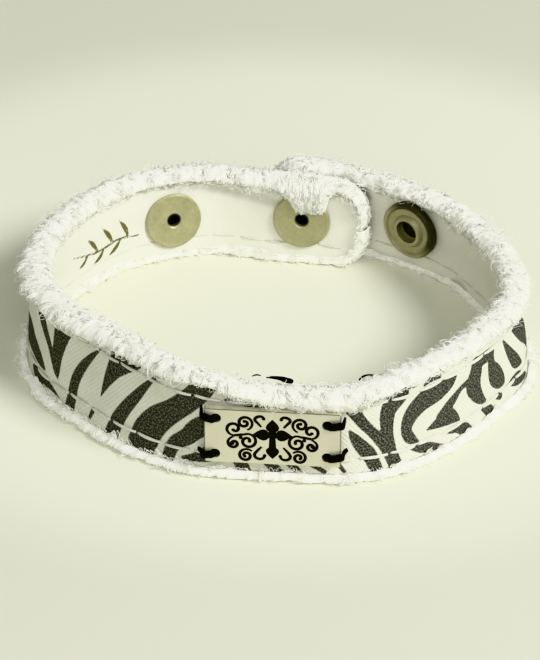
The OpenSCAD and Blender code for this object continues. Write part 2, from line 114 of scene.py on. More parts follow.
def alongAt(turn):
    return np.interp(turn, turnTable, alongTable)


# A round corner takes corner - sqrt(corner^2 - d^2) off the width near an end
def cornerCut(turn):
    corner = strap["cornerR"]
    fromEnd = np.minimum(turn - strap["innerEnd"], strap["outerEnd"] - turn) / strap["degPerMm"]
    inside = np.clip(corner - fromEnd, 0, corner)
    return corner - np.sqrt(np.maximum(0, corner ** 2 - inside ** 2))


def lowerEdge(turn):
    return strap["low"] + cornerCut(turn)


def upperEdge(turn):
    return eased(turn, 3) - cornerCut(turn)


print("strap length", round(strapLength, 1), "mm")


def newObject(name, data):
    thing = bpy.data.objects.new(name, data)
    bpy.context.scene.collection.objects.link(thing)
    return thing


# Mesh from arrays. Faces have four columns, and a triangle has -1 in the last.
def makePiece(name, points, faces, smooth=True):
    corners = faces.ravel()
    sizes = np.where(faces[:, 3] < 0, 3, 4)
    mesh = bpy.data.meshes.new(name)
    mesh.vertices.add(len(points))
    mesh.vertices.foreach_set("co", (points * mm).astype(np.float32).ravel())
    kept = corners[corners >= 0].astype(np.int32)
    mesh.loops.add(len(kept))
    mesh.loops.foreach_set("vertex_index", kept)
    mesh.polygons.add(len(faces))
    starts = np.concatenate([[0], np.cumsum(sizes)[:-1]])
    mesh.polygons.foreach_set("loop_start", starts.astype(np.int32))
    mesh.polygons.foreach_set("use_smooth", np.full(len(faces), smooth))
    mesh.update(calc_edges=True)
    mesh.validate()
    return newObject(name, mesh)


# Each piece gets a finish and a body, and may stand for a node of the frame
def finishPiece(piece, material, node=None):
    piece.data.materials.append(material)
    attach(piece, "root")
    if node:
        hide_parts(node)
    return piece


# Spread a value of each vertex over the corners of the faces, as a UV map in metres
def putUv(piece, across, up):
    mesh = piece.data
    index = np.empty(len(mesh.loops), dtype=np.int32)
    mesh.loops.foreach_get("vertex_index", index)
    layer = mesh.uv_layers.new(name="weave")
    pairs = np.stack([across[index], up[index]], axis=1) * mm
    layer.data.foreach_set("uv", pairs.astype(np.float32).ravel())


def putValue(piece, name, values):
    layer = piece.data.attributes.new(name, "FLOAT", "POINT")
    layer.data.foreach_set("value", values.astype(np.float32).ravel())


# Faces of a closed tube: rings by sides points in order, then a middle point for each end
def ringFaces(rings, sides):
    i, j = np.meshgrid(np.arange(rings - 1), np.arange(sides), indexing="ij")
    nextJ = (j + 1) % sides
    body = np.stack([i * sides + j, (i + 1) * sides + j, (i + 1) * sides + nextJ, i * sides + nextJ],
                    axis=-1).reshape(-1, 4)
    rim = np.arange(sides)
    nextRim = (rim + 1) % sides
    last = (rings - 1) * sides
    none = np.full(sides, -1)
    start = np.stack([np.full(sides, rings * sides), rim, nextRim, none], axis=1)
    end = np.stack([np.full(sides, rings * sides + 1), last + nextRim, last + rim, none], axis=1)
    return np.concatenate([body, start, end])


# Turn the faces of a closed mesh round if they enclose a negative volume
def facesOutwards(points, faces):
    third = np.where(faces[:, 3] < 0, faces[:, 2], faces[:, 3])
    a, b, c, d = points[faces[:, 0]], points[faces[:, 1]], points[faces[:, 2]], points[third]
    volume = (a * np.cross(b, c)).sum() + (a * np.cross(c, d)).sum()
    if volume > 0:
        return faces
    turned = faces[:, ::-1]
    return np.where(turned[:, :1] < 0, np.roll(turned, -1, axis=1), turned)


# Tubes along many paths at once. Ring point = path point + radius * (cos a * side +
# sin a * side x way), with the side carried along each path without twist.
def tubes(paths, radii, sides):
    count, steps = paths.shape[:2]
    way = np.gradient(paths, axis=1)
    way /= np.linalg.norm(way, axis=2, keepdims=True) + 1e-9
    least = np.argmin(np.abs(way[:, 0]), axis=1)
    side = np.eye(3)[least]
    rings = np.empty((count, steps, sides, 3))
    angle = np.arange(sides) * 2 * math.pi / sides
    for k in range(steps):
        side = side - way[:, k] * (side * way[:, k]).sum(axis=1, keepdims=True)
        side /= np.linalg.norm(side, axis=1, keepdims=True) + 1e-9
        other = np.cross(way[:, k], side)
        ring = (np.cos(angle)[None, :, None] * side[:, None]
                + np.sin(angle)[None, :, None] * other[:, None])
        rings[:, k] = paths[:, k, None] + radii[:, k, None, None] * ring
    ends = np.stack([paths[:, 0], paths[:, -1]], axis=1)
    points = np.concatenate([rings.reshape(count, -1, 3), ends], axis=1)
    faces = ringFaces(steps, sides)
    base = (np.arange(count) * points.shape[1])[:, None, None]
    many = np.where(faces[None] < 0, -1, faces[None] + base)
    return points.reshape(-1, 3), many.reshape(-1, 4)


def strandPiece(name, paths, radii, material, sides=3):
    points, faces = tubes(paths, radii, sides)
    return finishPiece(makePiece(name, points, facesOutwards(points, faces)), material)


# A socket takes the output of another node, or a plain value
def feed(tree, socket, value):
    if isinstance(value, bpy.types.NodeSocket):
        tree.links.new(value, socket)
    else:
        socket.default_value = value


def newMaterial(name, roughness, **sockets):
    material = bpy.data.materials.new(name)
    material.use_nodes = True
    tree = material.node_tree
    shader = tree.nodes["Principled BSDF"]
    for socket, value in dict(sockets, Roughness=roughness).items():
        feed(tree, shader.inputs[socket.replace("_", " ")], value)
    return material, tree, shader


# A node's inputs are given by name, or by place as in0, in1 and so on
def addNode(tree, kind, settings=None, **inputs):
    node = tree.nodes.new("ShaderNode" + kind)
    for key, value in (settings or {}).items():
        setattr(node, key, value)
    for key, value in inputs.items():
        place = int(key[2:]) if key.startswith("in") else key.replace("_", " ")
        feed(tree, node.inputs[place], value)
    return node


def objectPlace(tree):
    return addNode(tree, "TexCoord").outputs["Object"]


def attribute(tree, name):
    return addNode(tree, "Attribute", dict(attribute_name=name)).outputs["Fac"]


def maths(tree, operation, a, b=0.0, c=0.0):
    return addNode(tree, "Math", dict(operation=operation), in0=a, in1=b, in2=c).outputs[0]


def vectorMaths(tree, operation, a, b=(0, 0, 0), output="Vector"):
    return addNode(tree, "VectorMath", dict(operation=operation), in0=a, in1=b).outputs[output]


def blendColour(tree, share, first, second):
    return addNode(tree, "Mix", dict(data_type="RGBA"), in0=share, in6=first, in7=second).outputs[2]


def ramp(tree, value, low, high, kind="LINEAR"):
    return addNode(tree, "MapRange", dict(interpolation_type=kind), Value=value, From_Min=low,
                   From_Max=high).outputs[0]


def noise(tree, vector, scale, detail=2.0, roughness=0.5):
    return addNode(tree, "TexNoise", Vector=vector, Scale=scale, Detail=detail,
                   Roughness=roughness).outputs["Fac"]


def bump(tree, shader, height, distance, strength=1.0):
    node = addNode(tree, "Bump", Height=height, Distance=distance, Strength=strength)
    tree.links.new(node.outputs[0], shader.inputs["Normal"])


def colourIt(tree, shader, colour):
    tree.links.new(colour, shader.inputs["Base Color"])


def darker(colour, share):
    return [c * share for c in colour[:3]] + [1]


# Studio: a pale floor with a painted pool of light round the bracelet, one big soft key from the right and a
# pale sky
studio = dict(
    target=(-0.992, -5.648, 7.0),   # what the camera looks at, mm
    distance=380.0,
    elevation=31.0,
    lens=148.25,
    floorSpan=2500.0,
    floorColour=(0.85, 0.86, 0.72, 1),
    floorGrain=60.0,
    floorSoft=0.985,                # share of its colour where the grain is dark
    # painted pool of light: the floor's colour is full near the middle and darker far out
    floorFar=0.83,                  # share of the floor's colour that is left far out
    floorMiddle=(0, 26, 0),
    floorReach=(60, 86),
    skyColour=(1.0, 1.0, 0.90, 1),
    skyStrength=0.32,
    keyPlace=(745, -500, 770),
    keySize=0.5,
    keyPower=13.6,
    fillPlace=(-100, -900, 640),
    fillSize=0.9,
    fillPower=3.6)


def aimedAt(place, target):
    return (Vector(target) - Vector(place)).to_track_quat("-Z", "Y").to_euler()


def softLight(name):
    light = bpy.data.lights.new(name, "AREA")
    light.shape = "DISK"
    light.size = studio[name + "Size"]
    light.energy = studio[name + "Power"]
    lamp = newObject(name, light)
    lamp.location = Vector(studio[name + "Place"]) * mm
    lamp.rotation_euler = aimedAt(studio[name + "Place"], (0, 0, 5))


def makeFloor():
    material, tree, shader = newMaterial("floorPaper", 0.75)
    place = objectPlace(tree)
    colour = studio["floorColour"]
    paper = blendColour(tree, noise(tree, place, studio["floorGrain"], 3.0), colour,
                        darker(colour, studio["floorSoft"]))
    # Painted pool of light: the floor's colour is darker away from a point just behind the middle
    fromMiddle = vectorMaths(tree, "SUBTRACT", place, [c * mm for c in studio["floorMiddle"]])
    away = vectorMaths(tree, "LENGTH", fromMiddle, output="Value")
    far = ramp(tree, away, *(r * mm for r in studio["floorReach"]), "SMOOTHSTEP")
    colourIt(tree, shader, blendColour(tree, far, paper, darker(colour, studio["floorFar"])))
    span = studio["floorSpan"]
    corners = np.array([[-span, -span, 0], [span, -span, 0], [span, span, 0], [-span, span, 0]])
    floor = makePiece("floor", corners, np.array([[0, 1, 2, 3]]), smooth=False)
    floor.data.materials.append(material)


def makeStudio():
    scene = bpy.context.scene
    scene.view_settings.view_transform = "Khronos PBR Neutral"
    elevation = math.radians(studio["elevation"])
    target = Vector(studio["target"]) * mm
    back = Vector((0, -math.cos(elevation), math.sin(elevation))) * studio["distance"] * mm
    view = bpy.data.cameras.new("view")
    view.lens = studio["lens"]
    view.clip_start = 0.01
    scene.camera = newObject("camera", view)
    scene.camera.location = target + back
    scene.camera.rotation_euler = aimedAt(target + back, target)
    scene.world = bpy.data.worlds.new("sky")
    scene.world.use_nodes = True
    sky = scene.world.node_tree.nodes["Background"]
    sky.inputs[0].default_value = studio["skyColour"]
    sky.inputs[1].default_value = studio["skyStrength"]
    softLight("key")
    softLight("fill")
    makeFloor()


makeStudio()
print("studio set")


# Ink. A stroke is a spine of points, along the strap, height and half width. Its
# distance field is that of a chain of tapered capsules, and the print is the union.
zebra = [
    [(63.5, .8, 1.0), (65.5, 2.6, 1.5), (68, 4.6, 1.8), (70.5, 5.8, 2.0), (73, 6.1, 1.9),
     (75.2, 5.6, 1.6), (77.2, 4.9, 1.2), (79, 4.4, .7), (80.2, 4.0, .2)],
    [(75.5, 12.4, 1.0), (77.4, 11.0, .95), (79, 9.5, .75), (80.6, 8.0, .6), (81.8, 6.6, .5),
     (82.8, 5.2, .4), (83.4, 4.5, .2)],
    [(76.2, 2.3, .5), (78, 2.0, 1.1), (80, 2.3, .85), (82, 2.4, .5), (84.6, 1.8, .1)],
    [(83.3, 12.6, 2.1), (82.9, 9.8, 1.6), (82.8, 7.6, 1.2), (83.2, 5.6, .65), (83.6, 4.2, .1)],
    [(91.0, 11.8, .15), (89.6, 10.2, .5), (88.2, 8.2, .78), (87.3, 6.0, .9), (87.1, 4.2, .9),
     (86.9, .9, 1.0)],
    [(91.0, 1.8, .3), (91.4, 3.0, .42)],
    [(92.5, 5.6, .1), (93.3, 8, .75), (94.2, 10, 1.3), (95.0, 11.8, 1.8), (95.2, 13.6, 1.8)],
    [(95, 10.2, .8), (97, 11.4, .6), (98.8, 12.4, .4), (100.2, 13.4, .2)],
    [(95.3, .8, 1.2), (96.2, 3.6, 1.15), (97.5, 6, 1.0), (98.9, 8, .85), (100.4, 10, .6), (101.6, 11.4, .35),
     (103, 12.8, .15)],
    [(100.4, .8, 2.2), (101.4, 3.8, 2.25), (103.0, 6.2, 2.0), (105.4, 8.4, 1.65), (107.8, 10.6, 1.6),
     (109.6, 12.6, 1.6), (111.0, 14.6, 1.4)],
    [(104.8, .8, .9), (105.8, 3.6, 1.0), (107.7, 5.2, 1.2), (109.6, 7.1, 1.45), (113, 9.0, 1.5)],
    [(107.2, 2.0, .25), (109, 2.4, .7), (110.8, 3.2, 1.2), (113, 4.6, 1.4)],
    [(113.2, 11.8, .3), (114.8, 12.2, .7), (116.5, 11.4, .65), (118.5, 10.7, .5), (121.3, 9.9, .4)],
    [(114.6, 3.4, 1.0), (115.6, 1.0, .9)],
    [(118.4, 3.0, .75), (120.3, .8, .75)],
    [(121.2, 3.0, .6), (123, 1.1, .5)],
    [(124.2, 2.8, .4), (126.2, 1.5, .35)],
    [(127.9, 2.9, .35), (129.3, .8, .25)],
    [(129.5, 11.6, 1.0), (131.0, 9.2, .8), (132.6, 7.2, .75), (134.1, 5.4, .95), (135.1, 3.6, 1.0),
     (136.2, .8, 1.0)],
    [(136.2, 12.2, 1.7), (134.8, 10.2, 1.25), (134.6, 8, 1.0), (134.9, 6, .75), (135.3, 4.2, .7)],
    [(136.5, 12.4, .6), (138.0, 13.2, .7), (139.1, 12.6, .2)],
    [(143.5, 13.0, .35), (144.1, 13.0, .3)],
    [(146.7, 13.1, .35), (147.4, 13.0, .3)],
    [(129.4, 7.9, .15), (130.2, 6.6, .7), (131.3, 5.0, 1.0), (132.3, 3.6, 1.0), (133.4, .8, .9)],
    [(139.8, 3.6, .15), (138.4, 4.6, .8), (137.6, 6.3, .9), (138.4, 8.4, 1.35), (140.4, 9.8, 1.65),
     (142.9, 10.0, 1.5), (145, 10.5, 1.1), (146.5, 11.4, .3)],
    [(140.6, 12.2, .3), (142.2, 12.6, .55), (143.5, 12.2, .2)],
    [(138.4, 3.0, .15), (140, 2.5, .7), (141.6, 2.0, .8), (143.3, 1.4, .5), (145, .9, .1)],
    [(141.2, 4.9, .15), (143.0, 5.2, .8), (144.8, 5.4, 1.35), (146.2, 4.7, .9), (147.5, 3.7, .15)],
    [(143.6, 6.0, .8), (145.4, 7.2, .9), (147.4, 8.65, .5), (149, 9.0, .55), (150.3, 9.2, .6)],
    [(150.8, 11.2, .9), (150.9, 9.8, 1.5), (150.4, 8.2, 1.7), (150.8, 6.8, 1.35), (151.7, 5.4, 1.0),
     (152.8, 4.3, .6), (153.6, 3.8, .2)],
    [(151, 10.8, 1.1), (153.2, 10.9, 1.0), (154.6, 10.7, 1.0)],
    [(154.6, 10.6, .8), (154.9, 8.6, 1.0), (155.9, 6.8, 1.55), (157.0, 5.4, 1.3), (158.0, 4.5, .5)],
    [(152.4, 3.1, .2), (153.6, 2.5, .7), (154.6, 1.7, .85), (155.4, 1.0, .45)],
    [(156.4, 3.1, .5), (157.2, 2.7, .6)],
    [(144.9, 2.7, .1), (147, 2.4, .5), (148.3, 2.0, .95), (149.4, 1.3, .7), (150.4, .8, .1)],
    [(158.1, 11.0, .2), (159.3, 9.2, .6), (160.5, 7.5, .95), (162, 5.8, 1.1), (163.8, 4.7, .3)],
    [(160.4, 3.3, .6), (162.0, 3.0, 1.1), (163.8, 2.4, .8), (165.8, 1.7, .2)],
    [(160.2, 12.2, .3), (162.6, 11.0, 1.3), (165, 9.2, 1.7), (167.5, 6.9, 1.4), (170, 4.9, 1.35),
     (173, 3.2, 1.3), (176, 1.6, 1.2)]]


# The rest of the strap goes on with blades of the same kind: they cross the strap at a
# slant that swings from side to side, and start by turns from the lower and upper edge.
# Every third one has a fork.
blade = dict(
    slant=2.6,
    slantSwing=0.11,
    slantStray=0.8,
    width=(0.75, 1.35),
    length=(9.0, 13.5),
    bow=0.9,
    ends=(0.5, 13.6),     # heights where they start
    taper=(1.15, 1.1, 0.9, 0.55, 0.1),
    forkTaper=(0.9, 0.6, 0.1),
    forkReach=2.4,
    apart=(3.0, 4.6))


def moreBlades(start, end, seed):
    rng = np.random.default_rng(seed)
    shares, fork = np.linspace(0, 1, 5), np.linspace(0, 1, 3)
    blades = []
    place, k = start, 0
    while place < end:
        stray = blade["slantStray"]
        slant = blade["slant"] * math.sin(place * blade["slantSwing"]) + rng.uniform(-stray, stray)
        width = rng.uniform(*blade["width"])
        length = rng.uniform(*blade["length"])
        bow = rng.uniform(-blade["bow"], blade["bow"])
        height = blade["ends"][k % 2] + length * shares * (1, -1)[k % 2]
        along = place + slant * (shares - 0.5) * 2 + bow * np.sin(shares * math.pi)
        blades.append(list(zip(along, height, width * np.array(blade["taper"]))))
        if k % 3 == 2:
            blades.append(list(zip(along[1] + blade["forkReach"] * fork,
                                   height[1] + (height[3] - height[1]) * fork,
                                   width * np.array(blade["forkTaper"]))))
        place += rng.uniform(*blade["apart"])
        k += 1
    return blades


# Smooth a spine: a curve through its points, with the tangent at a point half way from
# the one before to the one after
def smoothSpine(points, steps):
    p = np.asarray(points, dtype=float)
    before = np.concatenate([p[:1], p[:-1]])[:-1]
    after = np.concatenate([p[1:], p[-1:]])[1:]
    a, b = p[:-1], p[1:]
    t = (np.arange(steps) / steps)[None, :, None]
    curve = 0.5 * (2 * a[:, None] + (b - before)[:, None] * t
                   + (2 * before - 5 * a + 4 * b - after)[:, None] * t ** 2
                   + (3 * a - before - 3 * b + after)[:, None] * t ** 3)
    return np.concatenate([curve.reshape(-1, p.shape[1]), p[-1:]])


# Depth inside the ink, in millimetres: positive in a stroke, negative outside
def inkDepth(strokes, along, height, beyond=1.0):
    depth = np.full(along.shape, -9.0)
    for stroke in strokes:
        spine = smoothSpine(stroke, 5)
        reach = spine[:, 2].max() + beyond
        near = np.nonzero((along > spine[:, 0].min() - reach) & (along < spine[:, 0].max() + reach))[0]
        if len(near) == 0:
            continue
        x, y = along[near, None], height[near, None]
        ax, ay, ar = spine[None, :-1, 0], spine[None, :-1, 1], spine[None, :-1, 2]
        bx, by, br = spine[None, 1:, 0], spine[None, 1:, 1], spine[None, 1:, 2]
        long = (bx - ax) ** 2 + (by - ay) ** 2 + 1e-9
        t = np.clip(((x - ax) * (bx - ax) + (y - ay) * (by - ay)) / long, 0, 1)
        away = np.hypot(x - ax - t * (bx - ax), y - ay - t * (by - ay))
        best = (ar + t * (br - ar) - away).max(axis=1)
        depth[near] = np.maximum(depth[near], best)
    return depth


# Cloth layers: a closed wall whose section is a thin upright box. The face that shows
# has a fine grid, with a shallow pucker along each row of stitches.
stitchRows = (3.3, 11.65)
stitchPitch = 4.4
printedCanvas = dict(
    finish="printedCotton",
    columns=800,
    rows=48,
    pucker=0.10,
    white=(0.80, 0.80, 0.70, 1),
    shade=(0.68, 0.68, 0.57, 1),
    valleyShade=0.86,          # share of its white between the yarns, painted shade
    relief=0.7,
    yarn=0.36,            # from one yarn to the next
    wear=0.46,            # noise above which the ink is worn
    ink=(0.036, 0.038, 0.034, 1),
    wornInk=(0.22, 0.22, 0.17, 1))
liningCanvas = dict(
    finish="plainCotton",
    columns=700,
    rows=34,
    pucker=0.07,
    white=(0.83, 0.83, 0.74, 1),
    shade=(0.80, 0.80, 0.70, 1),
    valleyShade=0.96,
    relief=0.25,
    yarn=0.38,
    wear=0.60,
    ink=(0.13, 0.125, 0.045, 1),
    wornInk=(0.83, 0.83, 0.74, 1))
canvas = dict(
    puckerHalf=0.45,
    ripple=0.03,
    fuzz=5.0,             # noises, per millimetre
    stain=0.16,
    speck=4.0,
    wobble=0.9,
    bleed=0.35,           # how much the fuzz moves the border of the ink
    border=0.07,
    wornOver=0.20,
    deep=0.1,             # share of its colour in the darkest shade
    # black painted on the cloth where the snap barrels pass through, as painted shade in the holes
    hole=(0.004, 0.004, 0.003, 1),
    holeR=1.5)


# Pucker at height z = sum over rows of pucker * exp(-((z - row) / half)^2), and slow
# ripples along the strap
def puckerDepth(cloth, along, height):
    dip = sum(np.exp(-((height - row) / canvas["puckerHalf"]) ** 2) for row in stitchRows)
    pull = 0.75 + 0.25 * np.sin(along * 2 * math.pi / stitchPitch)
    ripple = canvas["ripple"] * (1 + np.sin(along * 0.9 + 2 * np.sin(height * 0.5)))
    return cloth["pucker"] * dip * pull + ripple


def clothWall(name, cloth, near, far, shownNear):
    turn = turnAt(np.linspace(0, strapLength, cloth["columns"]))
    corners = strap["cornerR"] * (1 - np.cos(np.linspace(0, math.pi / 2, 9))) * strap["degPerMm"]
    turn = np.unique(np.concatenate([turn, strap["innerEnd"] + corners, strap["outerEnd"] - corners]))
    share = np.linspace(0, 1, cloth["rows"])
    back = np.array([1.0, 0.5, 0.0])
    order = np.concatenate([share, back])
    shown = np.concatenate([np.ones(len(share)), np.zeros(len(back))])
    if not shownNear:
        order, shown = order[::-1], shown[::-1]
    low, high = lowerEdge(turn)[:, None], upperEdge(turn)[:, None]
    height = low + (high - low) * order[None]
    along = np.broadcast_to(alongAt(turn)[:, None], height.shape)
    shift = puckerDepth(cloth, along, height) * shown[None]
    onNear = shown if shownNear else 1 - shown
    depth = np.where(onNear[None] > 0.5, near, far) + (shift if shownNear else -shift)
    points = bandPoint(turn[:, None], depth, height)
    ends = points[[0, -1]].mean(axis=1)
    piece = makePiece(name, np.concatenate([points.reshape(-1, 3), ends]), ringFaces(*height.shape))
    flatAlong = np.concatenate([along.ravel(), [0, strapLength]])
    flatHeight = np.concatenate([height.ravel(), height[[0, -1]].mean(axis=1)])
    putUv(piece, flatAlong, flatHeight)
    width = upperEdge(turn) - lowerEdge(turn)
    area = ((width[1:] + width[:-1]) / 2 * np.diff(alongAt(turn))).sum()
    return piece, flatAlong, flatHeight, area


# Canvas: two sets of yarns cross in a plain weave, height = sin(across) * sin(up), and
# colour drifts slowly. The ink attribute is thresholded with a little bleed.
def canvasMaterial(cloth):
    material, tree, shader = newMaterial(cloth["finish"], 0.95, Specular_IOR_Level=0.08)
    flat = addNode(tree, "UVMap", dict(uv_map="weave")).outputs[0]
    inMm = vectorMaths(tree, "MULTIPLY", flat, (1000, 1000, 1000))
    wobble = noise(tree, inMm, canvas["wobble"], 1.0)
    parts = addNode(tree, "SeparateXYZ", in0=inMm).outputs
    across, up = (maths(tree, "SINE", maths(tree, "MULTIPLY_ADD", part, math.pi / cloth["yarn"], wobble))
                  for part in parts[:2])
    weave = maths(tree, "MULTIPLY", across, up)
    fuzz = noise(tree, inMm, canvas["fuzz"], 3.0, 0.65)
    drift = ramp(tree, noise(tree, inMm, canvas["stain"], 3.0, 0.6), 0.35, 0.75)
    colour = blendColour(tree, drift, cloth["white"], cloth["shade"])
    # Painted shade between the yarns, mixed with random tone from the fuzz noise
    raised = ramp(tree, maths(tree, "ADD", weave, maths(tree, "MULTIPLY", fuzz, 1.4)), -0.1, 0.7)
    colour = blendColour(tree, raised, darker(cloth["white"], cloth["valleyShade"]), colour)
    bleed = maths(tree, "MULTIPLY_ADD", maths(tree, "SUBTRACT", fuzz, 0.5), canvas["bleed"],
                  attribute(tree, "ink"))
    inked = ramp(tree, bleed, -canvas["border"], canvas["border"])
    speck = noise(tree, inMm, canvas["speck"], 3.0, 0.7)
    missed = maths(tree, "MULTIPLY_ADD", weave, 0.03, speck)
    worn = ramp(tree, missed, cloth["wear"], cloth["wear"] + canvas["wornOver"])
    ink = blendColour(tree, worn, cloth["ink"], cloth["wornInk"])
    # Painted shade: the shade attribute darkens the colour where the lining's painted shadows lie
    colour = blendColour(tree, attribute(tree, "shade"), colour, darker(cloth["shade"], canvas["deep"]))
    colour = blendColour(tree, inked, colour, ink)
    # painted shade in the holes, where the hole attribute is set
    colourIt(tree, shader, blendColour(tree, attribute(tree, "hole"), colour, canvas["hole"]))
    bump(tree, shader, maths(tree, "MULTIPLY_ADD", fuzz, 0.9, weave), 0.00004, cloth["relief"])
    return material


# Turn and height of each snap, on the printed face. The barrels pass through the cloth,
# and the closed snap's does so at both ends.
snapPlaces = dict(spareStud=(117.8, 6.3), closed=(80.8, 7.1), spareSocket=(408.2, 8.1))
closedOuter = (snapPlaces["closed"][0] + 360, snapPlaces["closed"][1])


def makeCloth(name, cloth, near, far, shownNear, strokes, node):
    piece, along, height, area = clothWall(name, cloth, near, far, shownNear)
    putValue(piece, "ink", inkDepth(strokes, along, height))
    turn = turnAt(along)
    # Painted shade: the cloth is marked round each barrel, where the hole shows dark
    inside = np.zeros(along.shape)
    for at, up in (*snapPlaces.values(), closedOuter):
        away = np.hypot((turn - at) / strap["degPerMm"], height - up)
        inside = np.maximum(inside, away < canvas["holeR"])
    putValue(piece, "hole", inside)
    print(name, len(piece.data.vertices), "points")
    return finishPiece(piece, canvasMaterial(cloth), node), along, height, area


printed, along, height, printedArea = makeCloth(
    "printed_canvas", printedCanvas, 0.0, strap["clothT"], True,
    zebra + moreBlades(2.0, 63.0, 5) + moreBlades(178.0, 226.0, 9), "outer_canvas")

# A plain sprig in faded ink on the lining: a stem with small leaves to both sides
sprig = [
    [(37.2, 5.2, .14), (41, 5.6, .2), (45, 5.2, .2), (49, 5.9, .18), (52.4, 7.0, .1)],
    [(39.2, 5.5, .12), (39.6, 7.0, .42), (40.6, 8.6, .1)],
    [(42.2, 5.5, .12), (43.0, 7.0, .42), (44.2, 8.5, .1)],
    [(45.6, 5.3, .12), (46.6, 6.8, .4), (47.9, 8.1, .1)],
    [(40.6, 5.5, .1), (41.8, 4.4, .36), (43.4, 3.6, .08)],
    [(44.2, 5.2, .1), (45.4, 4.2, .36), (47.0, 3.6, .08)],
    [(48.0, 5.7, .1), (49.2, 4.8, .3), (50.8, 4.4, .08)]]
# Painted shadows on the lining: shadow lines under the upper fray, shade in the gap between
# the two ends and along the lower edge, and broad soft shade. Columns: how dark, how soft the
# border is in millimetres, and strokes like those of the ink
paintedShadows = (
    (0.55, 0.8, [[(210.8, 10.6, .6), (212.2, 12.0, 1.0), (213.8, 13.4, 1.2), (215.5, 14.5, 1.0)]]),
    (0.35, 1.0, [[(190.2, .4, 1.2), (192, 1.2, 1.6), (193.8, .4, 1.2)],
                 [(208.8, .6, .4), (210.3, .7, .9), (211.5, .6, .4)]]),
    (0.24, 0.9, [[(193.2, 10.6, .5), (195, 11.8, .5)],
                 [(12, 9.3, .7), (18, 10.0, .7), (23, 10.6, .6), (30, 11.2, .5)]]),
    (0.13, 6.0, [[(36, 7, 3), (60, 7, 3)], [(182, 8, 3), (196, 7, 3)]]),
    (0.10, 1.2, [[(16, .3, .3), (21, .6, .4), (26, .4, .3)]]))
lining, along, height, liningArea = makeCloth(
    "lining_canvas", liningCanvas, strap["clothT"] + strap["layerGap"], strapT, False,
    sprig, "inner_canvas")
putValue(lining, "shade", np.max([
    share * np.clip(0.5 + inkDepth(strokes, along, height, soft) / soft, 0, 1)
    for share, soft, strokes in paintedShadows], axis=0))
print("cloth done")


# Fray. A raw edge runs round the corners at both ends. Along it go a turn, a height and
# the way out of the cloth, along and up. Seen along the edge, the fray is an ellipse
# about it, with the angle 0 outwards, a quarter turn up and half a turn inwards.
fray = dict(
    reach=1.15,           # how far it stands out beside the strap
    rise=1.5,             # how far above the raw edge
    top=15.0,             # height of the bracelet
    leastLap=0.12,
    lowReach=1.5,         # how far the lower fray stands out on the outside
    lowLap=0.15,          # how far the lower fray goes up over the print
    lowHigh=(0.4, 0.6),   # share of its height at a thin end, and what is added by size
    lowLift=1.4,          # how much looser the strands of the lower fray are
    loosen=2.2,           # how much further up a loose strand of it goes
    drawIn=1.8,           # how much narrower the upper fray is where its lap is negative
    hemWide=2.4,          # how much wider where the hem is thick
    taper=1.5,            # power of the outline where it thins down over the cloth
    power={1: 2.0, -1: 3.2},    # elsewhere, of the upper and of the lower fray
    endTail=0.9,
    endThin=(0.22, 0.55), # share of its size at the strap's two ends
    endEase=(11.0, 7.0),
    clear=0.13,           # least distance from the cloth
    lastAngle=1.2,        # how far the outline goes on below the edge, on both sides
    step=0.25,            # distance between the sections of the core
    sides=30,
    meanR=1.6,
    white=(0.95, 0.95, 0.89, 1),
    shade=(0.92, 0.92, 0.85, 1),
    glow=0.09)            # painted light: the loose cotton glows a little where it hangs in shade
# Strands: half thickness, points, length, bend in radians, lift off the core, how far
# they go their own way inside a lock, strands in a lock, how much headings differ
curls = dict(
    yarn=dict(radius=0.065, points=6, length=(0.9, 1.9), bend=2.2, lift=(0.04, 0.28), stray=0.35,
              lock=7, swirl=0.45),
    fluff=dict(radius=0.042, points=5, length=(0.7, 1.5), bend=2.8, lift=(0.06, 0.42), stray=0.8,
               lock=3, swirl=0.45),
    fuzz=dict(radius=0.070, points=5, length=(0.5, 1.1), bend=3.0, lift=(-0.02, 0.10), stray=1.0,
              lock=2, swirl=1.6),
    wisp=dict(radius=0.030, points=6, length=(1.2, 2.6), bend=2.6, lift=(0.25, 0.95), stray=1.0,
              lock=1, swirl=0.45))
# How far the upper fray hangs over the print. Columns: along the strap, lap
hang = np.array([
    [0, 0.8], [60, 0.8], [66, 0.3], [78, 0.1], [81, 0.5], [84, 1.3], [90, 1.5], [93, 0.4],
    [100, 0.4], [103, 1.2], [106, 0.9], [108, -0.3], [112, -0.3], [114, 0.9], [118, 1.6],
    [120, 2.0], [123, 2.3], [130, 2.3], [132, 1.5], [134, 0.5], [136, -0.1], [139, -0.4],
    [144, -0.3], [150, -0.1], [155, 0.0], [160, 0.2], [175, 1.0], [227, 1.0]])
# How far the frays hang over the lining. Columns: turn, lap, thickness of the hem. The
# upper one grows into a tuft over the closed snap.
hems = {
    1: np.array([
        [62, 0.8, 0.13], [70, 0.8, 0.2], [71.5, 1.6, 0.7], [73.5, 2.8, 1.0], [76, 3.3, 1.0],
        [79.5, 3.2, 1.0], [82.5, 2.8, 1.0], [85, 2.2, 0.95], [87, 2.0, 0.8], [92, 1.9, 0.5],
        [98, 1.5, 0.4], [107, 1.1, 0.35], [114, 0.8, 0.25], [120, 0.9, 0.13], [135, 1.5, 0.13],
        [190, 1.6, 0.13], [230, 0.8, 0.13], [330, 0.8, 0.13], [370, 0.8, 0.3], [385, 1.0, 0.4],
        [400, 0.9, 0.3], [416, 0.8, 0.2], [419, 0.3, 0.13], [432, 0.3, 0.13], [436, 0.8, 0.13],
        [450, 0.8, 0.13]]),
    -1: np.array([[62, 1.0, 0.13], [450, 1.0, 0.13]])}
# Where the upper fray stands out further outside. Columns: turn, how much further
bulge = np.array([
    [62, 0], [150, 0], [168, 0.4], [186, 0.8], [200, 0.6], [216, 0.2], [235, 0], [264, 0],
    [268, 0.3], [284, 0.3], [289, 0], [450, 0]])
